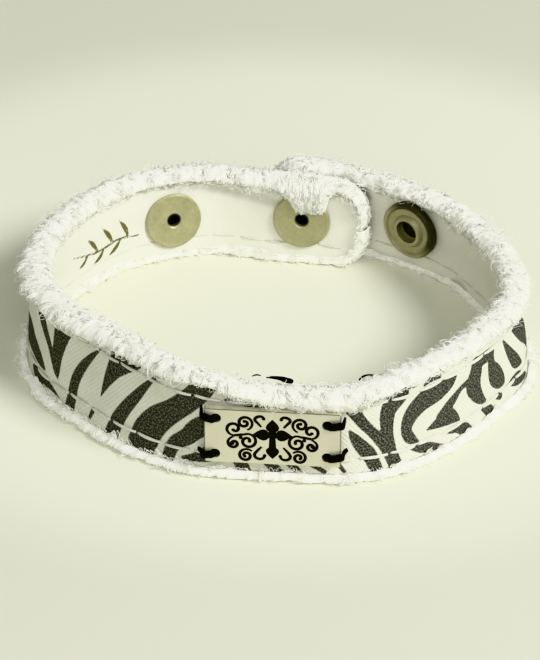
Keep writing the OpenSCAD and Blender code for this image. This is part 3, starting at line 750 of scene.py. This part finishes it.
# Share of its rise that the upper fray has. Columns: turn, share
crown = np.array([[62, 1], [246, 1], [260, 0.6], [284, 0.6], [298, 1], [450, 1]])
# Share of its reach that each fray has on the inside. Columns: turn, share
inward = {
    1: np.array([
        [62, 1], [246, 1], [260, 0.65], [284, 0.65], [300, 1.5], [326, 1.5], [350, 1], [416, 1],
        [419, 0.35], [432, 0.35], [436, 1], [450, 1]]),
    -1: np.array([[62, 0.5], [300, 0.5], [330, 0.2], [405, 0.2], [425, 0.5], [450, 0.5]])}
# Spots where the fray lies close, at the snaps and at the plate: turn, half its width
closeSpots = [(place[0], 8) for place in (*snapPlaces.values(), closedOuter)] + [(269, 22)]


# Columns of an edge: turn, height, way out along the strap, way out upwards
def edgeTable(up):
    corner, perMm = strap["cornerR"], strap["degPerMm"]
    rounded = corner * perMm
    swing = np.linspace(math.pi / 2, 0, 16)

    def rawHeight(turn):
        return eased(turn, 3) if up > 0 else np.full(np.shape(turn), strap["low"])

    def cornerStops(end, way):
        turn = end + way * rounded * (1 - np.sin(swing))
        return np.stack([turn, rawHeight(turn) - up * corner * (1 - np.cos(swing)),
                         -way * np.sin(swing), up * np.cos(swing)], axis=1)

    straight = np.linspace(strap["innerEnd"] + rounded, strap["outerEnd"] - rounded, 700)[1:-1]
    middle = np.stack([straight, rawHeight(straight), 0 * straight, up + 0 * straight], axis=1)
    first, last = cornerStops(strap["innerEnd"], 1), cornerStops(strap["outerEnd"], -1)[::-1]
    tails = [[end, rawHeight(np.array(end)) - up * (corner + fray["endTail"]), way, 0]
             for end, way in ((strap["innerEnd"], -1), (strap["outerEnd"], 1))]
    rows = np.concatenate([[tails[0]], first, middle, last, [tails[1]]])
    place = np.stack([alongAt(rows[:, 0]), rows[:, 1]], axis=1)
    steps = np.linalg.norm(np.diff(place, axis=0), axis=1)
    return np.concatenate([[0], np.cumsum(steps)]), rows


edges = {up: edgeTable(up) for up in (1, -1)}


def edgeAt(up, q, column):
    length, rows = edges[up]
    return np.interp(q, length, rows[:, column])


def readTable(table, x, column=1):
    return np.interp(x, table[:, 0], table[:, column])


# Point of the fray: q along the raw edge, u outwards from the strap's middle, w out of
# the edge
def frayPoint(up, q, u, w):
    turn, rawHeight, outAlong, outUp = (edgeAt(up, q, k) for k in range(4))
    return bandPoint(turn + w * outAlong * strap["degPerMm"], halfT - u, rawHeight + w * outUp)


# Room beside the strap where its two ends lie over each other
def sideRoom(turn, side):
    lapped = np.where(side > 0, turn, turn - 360)
    over = (lapped > strap["innerEnd"] - 5) & (lapped < strap["outerEnd"] - 355)
    gap = (planRadius(lapped + 360, strapT, strap["midZ"]) - planRadius(lapped, 0, strap["midZ"])) / 2
    return np.where(over, np.minimum(gap - 0.05, fray["reach"]), fray["reach"])


# Share of its lap that the fray keeps near a close spot
def spotShare(turn, least):
    share = np.ones(np.shape(turn))
    for spot, half in closeSpots:
        share = np.minimum(share, np.clip((np.abs(turn - spot) - half) / 5, least, 1))
    return share


def hangAt(q):
    length, rows = edges[1]
    return readTable(hang, np.interp(q, length, alongAt(rows[:, 0])))


# Soft noise from 0 to 1: random values on a grid, eased between its points with
# 3 s^2 - 2 s^3
def softNoise(grid, x, y):
    i, j = np.floor(x).astype(int), np.floor(y).astype(int)
    s, r = x - i, y - j
    s, r = s * s * (3 - 2 * s), r * r * (3 - 2 * r)
    rows, columns = grid.shape
    near = grid[i % rows, j % columns] * (1 - s) + grid[(i + 1) % rows, j % columns] * s
    far = grid[i % rows, (j + 1) % columns] * (1 - s) + grid[(i + 1) % rows, (j + 1) % columns] * s
    return near * (1 - r) + far * r


noiseGrid = np.random.default_rng(12).random((257, 61))
# Lumps of the core: size in millimetres and how much each adds
lumpSizes = ((1.9, 0.10), (0.85, 0.14), (0.40, 0.14))
lumpLoss = 0.26


# Share of the outline that the core fills: 1 - loss + sum of amount * |2 noise - 1|^0.7,
# which makes round lumps with creases between them
def lumpShare(q, angle):
    share = 1 - lumpLoss
    across = angle * fray["meanR"]
    for k, (size, amount) in enumerate(lumpSizes):
        wave = softNoise(noiseGrid, q / size + 17 * k, across / size + 40 + 7 * k)
        share = share + amount * np.abs(2 * wave - 1) ** 0.7
    return share


# Outline at an angle, as u and w: 1 / (|cos / reach|^p + |sin / tall|^p)^(1/p), times the
# core's lumps, plus a lift, and kept clear of the cloth. Reach and tall differ between
# outside and inside, above and below, and p is less where the fray thins over the cloth.
def frayOutline(up, q, angle, lift, grow=1.0):
    length = edges[up][0][-1]
    turn, rawHeight = edgeAt(up, q, 0), edgeAt(up, q, 1)
    (first, last), ease = fray["endThin"], fray["endEase"]
    size = (first + (1 - first) * np.clip(q / ease[0], 0, 1)) * (
        last + (1 - last) * np.clip((length - q) / ease[1], 0, 1))
    outside, above = np.cos(angle) > 0, np.sin(angle) > 0
    lap, hem = readTable(hems[up], turn, 1), readTable(hems[up], turn, 2)
    lap = lap * np.maximum(spotShare(turn, 0.45), np.clip(lap - 1.5, 0, 1)) * grow
    if up > 0:
        hung = hangAt(q)
        drawn = np.clip(1 + np.minimum(hung, 0) * fray["drawIn"], 0.3, 1)
        further = readTable(bulge, turn)
        high = np.minimum(fray["rise"] * size, fray["top"] - rawHeight) * readTable(crown, turn)
        below = np.where(outside, np.maximum(fray["leastLap"], hung * grow), lap)
        tapered = ~above & ~outside
    else:
        drawn = fray["lowReach"] / fray["reach"]
        further = 0
        high = strap["low"] * (fray["lowHigh"][0] + fray["lowHigh"][1] * size)
        loose = np.clip(lift, 0, 1) * fray["loosen"] * grow
        below = np.where(outside, fray["lowLap"] + loose, lap)
        tapered = ~above
    reach = sideRoom(turn, np.cos(angle)) * size * np.where(outside, drawn, readTable(inward[up], turn))
    reach = halfT + reach + np.where(outside, further, np.clip(hem - 0.45, 0, 1) * fray["hemWide"])
    tall = np.where(above, high, below)
    power = np.where(tapered, fray["taper"] + np.clip(hem - 0.15, 0, 1) * 1.2, fray["power"][up])
    outline = (np.abs(np.cos(angle) / reach) ** power + np.abs(np.sin(angle) / tall) ** power) ** (-1 / power)
    distance = outline * lumpShare(q, angle)
    u = (distance + lift) * np.cos(angle)
    w = distance * np.sin(angle) + lift * np.maximum(np.sin(angle), -0.25)
    least = halfT + np.where(outside, fray["clear"], hem) + np.maximum(lift, 0)
    beside = (w < fray["clear"]) & (np.abs(u) < least)
    return np.where(beside, np.where(np.cos(angle) < 0, -1.0, 1.0) * least, u), w


# Core: a closed roll round the raw edge. Four more points a section close it below, just
# clear of the cloth: down both sides and over the edge.
def frayCore(name, up):
    length = edges[up][0][-1]
    q = np.linspace(0, length, int(length / fray["step"] / (1)))
    angle = np.linspace(-fray["lastAngle"], math.pi + fray["lastAngle"], fray["sides"])
    u, w = frayOutline(up, q[:, None], angle[None], 0.0)
    inner = np.full((len(q), 1), halfT + 0.6 * fray["clear"])
    roof = np.full((len(q), 1), 0.7 * fray["clear"])
    u = np.concatenate([u, -inner, -inner, inner, inner], axis=1)
    w = np.concatenate([w, np.minimum(w[:, -1:], 0), roof, roof, np.minimum(w[:, :1], 0)], axis=1)
    points = frayPoint(up, np.broadcast_to(q[:, None], u.shape), u, w)
    points[..., 2] = np.maximum(points[..., 2], 0.0)
    flat = np.concatenate([points.reshape(-1, 3), points[[0, -1]].mean(axis=1)])
    return makePiece(name, flat, facesOutwards(flat, ringFaces(*u.shape)))


# Strands lie on the core in locks. A strand's heading on the core's surface starts
# downwards on the sides and anyhow on top, and turns by its bend: place = start + sum of
# (cos heading, sin heading) * step. It rises off the core by lift * sin(pi t), more at
# its free end.
def fraySkeins(up, kind, count, seed, span=None, angles=None):
    rng = np.random.default_rng(seed)
    length = edges[up][0][-1]
    locks = max(1, count // kind["lock"])
    own = rng.integers(0, locks, count)
    lockQ = rng.uniform(*(span or (0, length)), locks)
    spread = fray["lastAngle"] * 0.8
    lockAngle = rng.uniform(*(angles or (-spread, math.pi + spread)), locks)
    topShare = np.exp(-(np.cos(lockAngle) / 0.45) ** 2)
    lockHeading = (-np.sign(np.cos(lockAngle)) * math.pi / 2
                   + rng.normal(0, 1, locks) * (kind["swirl"] + 1.3 * topShare))
    lockBend = rng.normal(0, kind["bend"], locks)
    lockLong = rng.uniform(*kind["length"], locks)
    lockLift = rng.uniform(*kind["lift"], locks)
    stray = kind["stray"]

    def around(values, amount):
        return (values[own] + rng.normal(0, amount, count))[:, None]

    t = np.linspace(0, 1, kind["points"])[None]
    heading = around(lockHeading, 0.5 * stray) + around(lockBend, 1.2 * stray) * t
    stride = np.abs(around(lockLong, 0.3 * stray)) / (kind["points"] - 1)
    q = around(lockQ, 0.16) + np.cumsum(np.cos(heading) * stride, axis=1)
    angle = around(lockAngle, 0.10) + np.cumsum(np.sin(heading) * stride, axis=1) / fray["meanR"]
    q = np.clip(q, 0, length)
    angle = np.clip(angle, -fray["lastAngle"] - 0.2, math.pi + fray["lastAngle"] + 0.2)
    lift = np.abs(around(lockLift, 0.10 * stray)) * (np.sin(math.pi * t) + 0.45 * t) - 0.03
    lift = lift * (1 if up > 0 else fray["lowLift"])
    grow = rng.uniform(0.8, 1.3, count)[:, None]
    paths = frayPoint(up, q, *frayOutline(up, q, angle, lift, grow))
    thin = 0.45 + 0.55 * np.sin(math.pi * (0.15 + 0.75 * t))
    radius = kind["radius"] * rng.uniform(0.7, 1.3, count)[:, None] * thin
    paths[..., 2] = np.maximum(paths[..., 2], radius + 0.01)
    return paths, radius


# Cotton; a glow above 0 makes it emit a little light, as painted light
def cottonMaterial(name, look, glow=0.0):
    material, tree, shader = newMaterial(
        name, 1.0, Specular_IOR_Level=0.05, Emission_Color=look["white"], Emission_Strength=glow)
    place = objectPlace(tree)
    fleck = ramp(tree, noise(tree, place, 900.0, 3.0, 0.6), 0.3, 0.7)
    colourIt(tree, shader, blendColour(tree, fleck, look["shade"], look["white"]))
    bump(tree, shader, noise(tree, place, 3600.0, 3.0, 0.65), 0.00009, 0.5)
    return material


cotton = cottonMaterial("frayedCotton", fray)
glowCotton = cottonMaterial("glowCotton", fray, fray["glow"])
# Strands of each fray. Columns: kind, how many
frayLayers = {
    "top": (("yarn", 4300), ("fluff", 5000), ("wisp", 1300)),
    "bottom": (("yarn", 2200), ("fluff", 4600))}
# Tuft: more strands where the upper fray hangs over the closed snap, inside
tuft = dict(
    turns=(71.5, 86.0),
    angles=(math.pi - 0.6, math.pi + 1.25),
    counts=(("fuzz", 2400), ("fluff", 300)))


def makeSkeins(word, up, kind, count, seed, material, *where):
    paths, radius = fraySkeins(up, curls[kind], count, seed, *where)
    return strandPiece("fray_" + word, paths, radius, material)


def makeFray():
    pieces = []
    # The lower fray and the tuft glow a little, as painted light
    for word, up, material in (("top", 1, cotton), ("bottom", -1, glowCotton)):
        core = frayCore("fray_core_" + word, up)
        pieces.append(finishPiece(core, material, "fray_" + word))
        for k, (kind, count) in enumerate(frayLayers[word]):
            pieces.append(makeSkeins(kind + "_" + word, up, kind, count, 20 + 10 * k + up, material))
    length, rows = edges[1]
    level = rows[:, 3] > 0.99
    span = tuple(np.interp(tuft["turns"], rows[level, 0], length[level]))
    for k, (kind, count) in enumerate(tuft["counts"]):
        pieces.append(makeSkeins("tuft_" + kind, 1, kind, count, 77 + k, glowCotton, span, tuft["angles"]))
    return pieces


frayPieces = makeFray()
print("fray:", sum(len(p.data.polygons) for p in frayPieces), "faces")


# Stitches. One is a thread with the height of a half sine over the cloth:
# out = bow * sin(pi t)^0.6 - sunk, thinner where it goes in
stitch = dict(
    length=4.0,
    span=(3.2, 6.0),      # where the rows start and end, from the strap's two ends
    sunk=0.08,
    points=9,
    sides=6,
    white=(0.76, 0.76, 0.69, 1),
    shade=(0.62, 0.62, 0.55, 1))


def makeStitches(name, depth, outwards, seed, threadR, bow):
    rng = np.random.default_rng(seed)
    starts = np.arange(stitch["span"][0], strapLength - stitch["span"][1], stitchPitch)
    t = np.linspace(0, 1, stitch["points"])[None]
    paths = []
    for row in stitchRows:
        length = stitch["length"] * rng.uniform(0.94, 1.02, len(starts))[:, None]
        along = starts[:, None] + length * t
        tilt = rng.normal(0, 0.07, len(starts))[:, None] * (t - 0.5) * 2
        height = row + rng.normal(0, 0.05, len(starts))[:, None] + tilt
        out = bow * np.sin(math.pi * t) ** 0.6 - stitch["sunk"]
        paths.append(bandPoint(turnAt(along), depth - outwards * out, height))
    paths = np.concatenate(paths)
    radii = threadR * (0.75 + 0.25 * np.sin(math.pi * t)) * np.ones((len(paths), 1))
    return strandPiece(name, paths, radii, stitchCotton, stitch["sides"])


stitchCotton = cottonMaterial("stitchThread", stitch)
outerStitches = makeStitches("stitches_printed", 0.0, 1, seed=3, threadR=0.23, bow=0.19)
innerStitches = makeStitches("stitches_lining", strapT, -1, seed=4, threadR=0.12, bow=0.10)
print("stitches done")


# Plate frame: +X along the plate to the right, +Y up, +Z out of its face
plate = dict(
    width=18.0,
    height=8.2,
    thickness=0.9,
    rim=0.14,             # width of the dark line along the edges of its face
    rimSoft=0.05,
    faceEdge=(0.06, 0.02),
    edge=(0.16, 0.155, 0.09, 1),
    turn=-5.3,
    back=(-0.1, -31.95, 7.2),
    grain=(120.0, 120.0, 5200.0),
    steel=(0.63, 0.61, 0.465, 1),
    rubbed=(0.70, 0.69, 0.55, 1))


def platePoint(points):
    turn = math.radians(plate["turn"])
    points = np.asarray(points, dtype=float)
    right = np.array([math.cos(turn), math.sin(turn), 0])
    out = np.array([math.sin(turn), -math.cos(turn), 0])
    origin = np.array(plate["back"]) - np.array([ringMiddle[0], ringMiddle[1], 0])
    return (origin + points[..., :1] * right + points[..., 1:2] * np.array([0, 0, 1])
            + points[..., 2:] * out)


# Lashings of black thread, pressed flat. The section is an ellipse whose long axis lies on
# the plate, times 1 - lobe + lobe * |cos(plies / 2 * (a - twist))|, along a route up through
# the hole, over the plate's end and down to a foot.
lashing = dict(
    halfWide=0.6,
    halfThick=0.28,
    plug=0.6,
    play=0.07,
    plies=6,
    twistPerMm=1.3,
    lobe=0.12,
    sides=32,
    steps=9,
    black=(0.002, 0.002, 0.002, 1),
    sheen=(0.010, 0.010, 0.008, 1))
# Columns: hole across and up, foot across, up and back
lashings = dict(
    lashing_left_top=(-7.45, 2.70, -9.50, 3.60, -0.40),
    lashing_left_bottom=(-7.60, -2.80, -9.95, -3.05, -0.40),
    lashing_right_top=(7.20, 2.33, 9.45, 3.00, -0.05),
    lashing_right_bottom=(7.20, -2.65, 9.80, -1.80, 0.0))


def lashingRoute(holeX, holeY, footX, footY, footZ):
    side = math.copysign(1, holeX)
    end = side * plate["width"] / 2
    thick, off = plate["thickness"], lashing["play"] + lashing["halfThick"]
    over = thick + off
    knee = off * 0.8

    def upAt(share):
        return holeY + (footY - holeY) * share

    return [
        (holeX, holeY, 0.05), (holeX, holeY, thick * 0.55),
        (holeX + side * 0.3, holeY, over - 0.08), (holeX + side * 0.9, upAt(0.1), over),
        (end - side * 0.1, upAt(0.35), over), (end + side * knee, upAt(0.55), thick + knee),
        (end + side * (off + 0.03), upAt(0.75), thick * 0.6), (footX, footY, footZ)]


def threadMaterial():
    material, tree, shader = newMaterial("blackThread", 0.7, Specular_IOR_Level=0.12)
    place = objectPlace(tree)
    fibre = ramp(tree, noise(tree, place, 4200.0, 3.0, 0.6), 0.45, 0.8)
    colourIt(tree, shader, blendColour(tree, fibre, lashing["black"], lashing["sheen"]))
    bump(tree, shader, noise(tree, place, 6500.0, 2.0), 0.00005, 0.6)
    return material


# Section of a lashing: half thick * cos a out of the plate + half wide * sin a along it.
# It starts as a round plug that fills the hole, and is flat after the first bend.
def makeLashings():
    angle = np.arange(lashing["sides"])[None] * 2 * math.pi / lashing["sides"]
    lobe, plug, halfThick = lashing["lobe"], lashing["plug"], lashing["halfThick"]
    for node, row in lashings.items():
        path = smoothSpine(lashingRoute(*row), lashing["steps"])
        way = np.gradient(path, axis=0)
        way /= np.linalg.norm(way, axis=1, keepdims=True)
        gone = np.concatenate([[0], np.cumsum(np.linalg.norm(np.diff(path, axis=0), axis=1))])[:, None]
        out = np.cross(way, [0, math.copysign(1, row[0]), 0])
        out /= np.linalg.norm(out, axis=1, keepdims=True)
        flat = np.cross(way, out)
        lobes = np.abs(np.cos(lashing["plies"] / 2 * (angle - lashing["twistPerMm"] * gone)))
        size = (1 - lobe + lobe * lobes) * np.clip(1.08 - 0.5 * (gone / gone[-1]) ** 4, 0, 1)
        thick = halfThick + (plug - halfThick) * np.clip(1.5 - 1.4 * gone, 0, 1)
        rings = (path[:, None] + (thick * size * np.cos(angle))[..., None] * out[:, None]
                 + (lashing["halfWide"] * size * np.sin(angle))[..., None] * flat[:, None])
        points = platePoint(np.concatenate([rings.reshape(-1, 3), path[[0, -1]]]))
        faces = facesOutwards(points, ringFaces(*rings.shape[:2]))
        finishPiece(makePiece(node + "_thread", points, faces), blackThread, node)


blackThread = threadMaterial()
makeLashings()

# Loose ends of black thread caught in the upper fray. Columns: along the strap, out
# from the strap's middle, height, half thickness
looseEnds = [
    [(116.4, -1.3, 14.4, .07), (117.0, -1.5, 14.5, .11), (117.6, -1.6, 14.35, .07)],
    [(118.4, -1.2, 14.35, .09), (119.4, -1.2, 14.3, .13), (120.3, -1.15, 14.25, .20),
     (121.1, -1.1, 14.15, .34), (121.8, -1.05, 14.1, .36), (122.2, -1.0, 14.0, .22)],
    [(118.9, -1.3, 14.45, .07), (120.0, -1.3, 14.45, .12), (121.2, -1.2, 14.4, .13),
     (122.1, -1.0, 14.2, .08)],
    [(131.6, -1.6, 13.9, .09), (132.2, -1.8, 14.25, .15), (133.0, -1.8, 14.45, .12),
     (133.9, -1.7, 14.3, .11), (134.5, -1.6, 14.0, .09)]]

for k, row in enumerate(looseEnds):
    place = smoothSpine(row, 6)
    path = bandPoint(turnAt(place[:, 0]), halfT - place[:, 1], place[:, 2])
    strandPiece("loose_thread_%d" % (k + 1), path[None], place[None, :, 3], blackThread, 8)
print("threads done")


# Finishes of the metal nodes
metals = dict(
    nickel=(0.46, 0.44, 0.26, 1),
    nickelDark=(0.20, 0.19, 0.11, 1),
    socket=(0.38, 0.365, 0.22, 1),
    cap=(0.55, 0.53, 0.42, 1),
    shadow=(0.035, 0.033, 0.018, 1),
    # painted shade inside the holes of the snaps
    black=(0.003, 0.003, 0.002, 1),
    tarnish=0.35,         # shares of the dark colour in patches and in grit
    grit=0.25,
    holeLift=0.2,         # how far the dark of a hole sits above the axis
    ringIn=3.25,          # the socket's rim, shaded on one side
    ringOut=8.0,
    shadeWay=(0.56, -0.43, 0.70))


# Distance along a direction from a point, in the shared frame
def alongAxis(tree, place, origin, axis):
    shift = vectorMaths(tree, "SUBTRACT", place, [c * mm for c in origin])
    return vectorMaths(tree, "DOT_PRODUCT", shift, list(axis), "Value")


def brushedSteel():
    material, tree, shader = newMaterial("brushedSteel", 0.42, Metallic=0.55)
    place = objectPlace(tree)
    stretched = addNode(tree, "Mapping", Vector=place, Scale=plate["grain"]).outputs[0]
    lines = noise(tree, stretched, 1.0, 3.0, 0.6)
    patches = noise(tree, place, 220.0, 2.0)
    share = ramp(tree, maths(tree, "MULTIPLY_ADD", lines, 0.5, patches), 0.45, 1.05)
    colour = blendColour(tree, share, plate["steel"], plate["rubbed"])
    origin, right, out = platePoint(np.array([[0, 0, 0], [1, 0, 0], [0, 0, 1]]))

    def past(value, start):
        return ramp(tree, value, start * mm, (start + plate["rimSoft"]) * mm)

    across = maths(tree, "ABSOLUTE", alongAxis(tree, place, origin, right - origin))
    up = alongAxis(tree, place, origin, (0, 0, 1))
    front = ramp(tree, alongAxis(tree, place, origin, out - origin),
                 *((plate["thickness"] - edge) * mm for edge in plate["faceEdge"]))
    rim = maths(tree, "MAXIMUM", past(across, plate["width"] / 2 - plate["rim"]),
                past(up, plate["height"] / 2 - plate["rim"]))
    colourIt(tree, shader, blendColour(tree, maths(tree, "MULTIPLY", rim, front), colour, plate["edge"]))
    tree.links.new(ramp(tree, lines, -0.6, 1.9), shader.inputs["Roughness"])
    bump(tree, shader, lines, 0.00001, 0.5)
    return material


def blackEnamel():
    material, tree, shader = newMaterial("blackEnamel", 0.5, Specular_IOR_Level=0.05)
    mottle = noise(tree, objectPlace(tree), 2600.0, 3.0, 0.6)
    colourIt(tree, shader, blendColour(tree, mottle, (0.002, 0.002, 0.002, 1), (0.010, 0.010, 0.007, 1)))
    bump(tree, shader, mottle, 0.00003, 0.5)
    return material


# Each snap has one axis, square to the wall, through its place on the printed face
def snapAxis(turn, height):
    before, after = bandPoint(np.array([turn - 4, turn + 4]), 0, height)
    facing = math.atan2(before[0] - after[0], after[1] - before[1])
    tilt = -math.atan(eased(turn, 2) / strap["leanSpan"])
    out = (math.cos(facing) * math.cos(tilt), math.sin(facing) * math.cos(tilt), math.sin(tilt))
    return bandPoint(np.array(turn), 0, height), out


# Snap metal: tarnished in patches, with painted shade, nearly black, in the hole: where the
# distance to a line a little above the axis is under the hole's radius. The socket's rim has
# painted deep shade to one side.
def snapMetal(name, bright, place=None, hole=0.0, depth=0.0, shaded=False):
    material, tree, shader = newMaterial(name, 0.5, Metallic=0.45)
    spot = objectPlace(tree)
    tarnish = ramp(tree, noise(tree, spot, 480.0, 4.0, 0.6), 0.35, 0.75)
    grit = ramp(tree, noise(tree, spot, 2400.0, 2.0, 0.6), 0.35, 0.75)
    dark = metals["nickelDark"]
    colour = blendColour(tree, maths(tree, "MULTIPLY", tarnish, metals["tarnish"]), metals[bright], dark)
    colour = blendColour(tree, maths(tree, "MULTIPLY", grit, metals["grit"]), colour, dark)
    bump(tree, shader, noise(tree, spot, 3200.0, 3.0), 0.00002, 0.5)

    def between(value, start, end):
        return ramp(tree, value, start * mm, end * mm)

    if place:
        origin, out = snapAxis(*snapPlaces[place])
        origin = origin + np.array([0, 0, metals["holeLift"]])
        shift = vectorMaths(tree, "SUBTRACT", spot, list(origin * mm))
        turned = vectorMaths(tree, "CROSS_PRODUCT", shift, out)
        away = vectorMaths(tree, "LENGTH", turned, output="Value")
        along = vectorMaths(tree, "DOT_PRODUCT", shift, out, "Value")
        # painted shade, nearly black, inside the hole
        paintedHoleShade = maths(tree, "MULTIPLY", between(away, hole + 0.15, hole - 0.1),
                       between(along, depth + 0.05, depth - 0.05))
        colour = blendColour(tree, paintedHoleShade, colour, metals["black"])
    if shaded:
        ringIn, ringOut = metals["ringIn"], metals["ringOut"]
        toSide = vectorMaths(tree, "DOT_PRODUCT", shift, metals["shadeWay"], "Value")
        side = ramp(tree, maths(tree, "DIVIDE", toSide, away), -0.35, 0.35)
        ring = maths(tree, "MULTIPLY", between(away, ringIn, ringIn + 0.35),
                     between(away, ringOut + 0.3, ringOut))
        colour = blendColour(tree, maths(tree, "MULTIPLY", ring, side), colour, metals["shadow"])
    colourIt(tree, shader, colour)
    return material


def dress(material, *nodes):
    for node in nodes:
        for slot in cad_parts[node].material_slots:
            slot.material = material


# Columns: node, colour, place, radius of the painted shade in the hole, depth to which it is painted dark,
# shaded rim
snapFinishes = (
    ("spare_flange", "nickel", "spareStud", 1.05, 9.0),
    ("closed_flange", "nickel", "closed", 1.05, 9.0),
    ("spare_stud", "nickel", "spareStud", 1.35, 1.5),
    ("closed_stud", "nickel", "closed", 1.35, 1.5),
    ("spare_socket", "socket", "spareSocket", 1.68, 9.0, True),
    ("closed_socket", "nickel"))

dress(brushedSteel(), "cross_plate")
dress(blackEnamel(), "cross_inlay")
for node, *finish in snapFinishes:
    dress(snapMetal("nickel_" + node, *finish), node)
dress(snapMetal("snapCap", "cap"), "closed_cap", "spare_cap")
print("metal dressed")
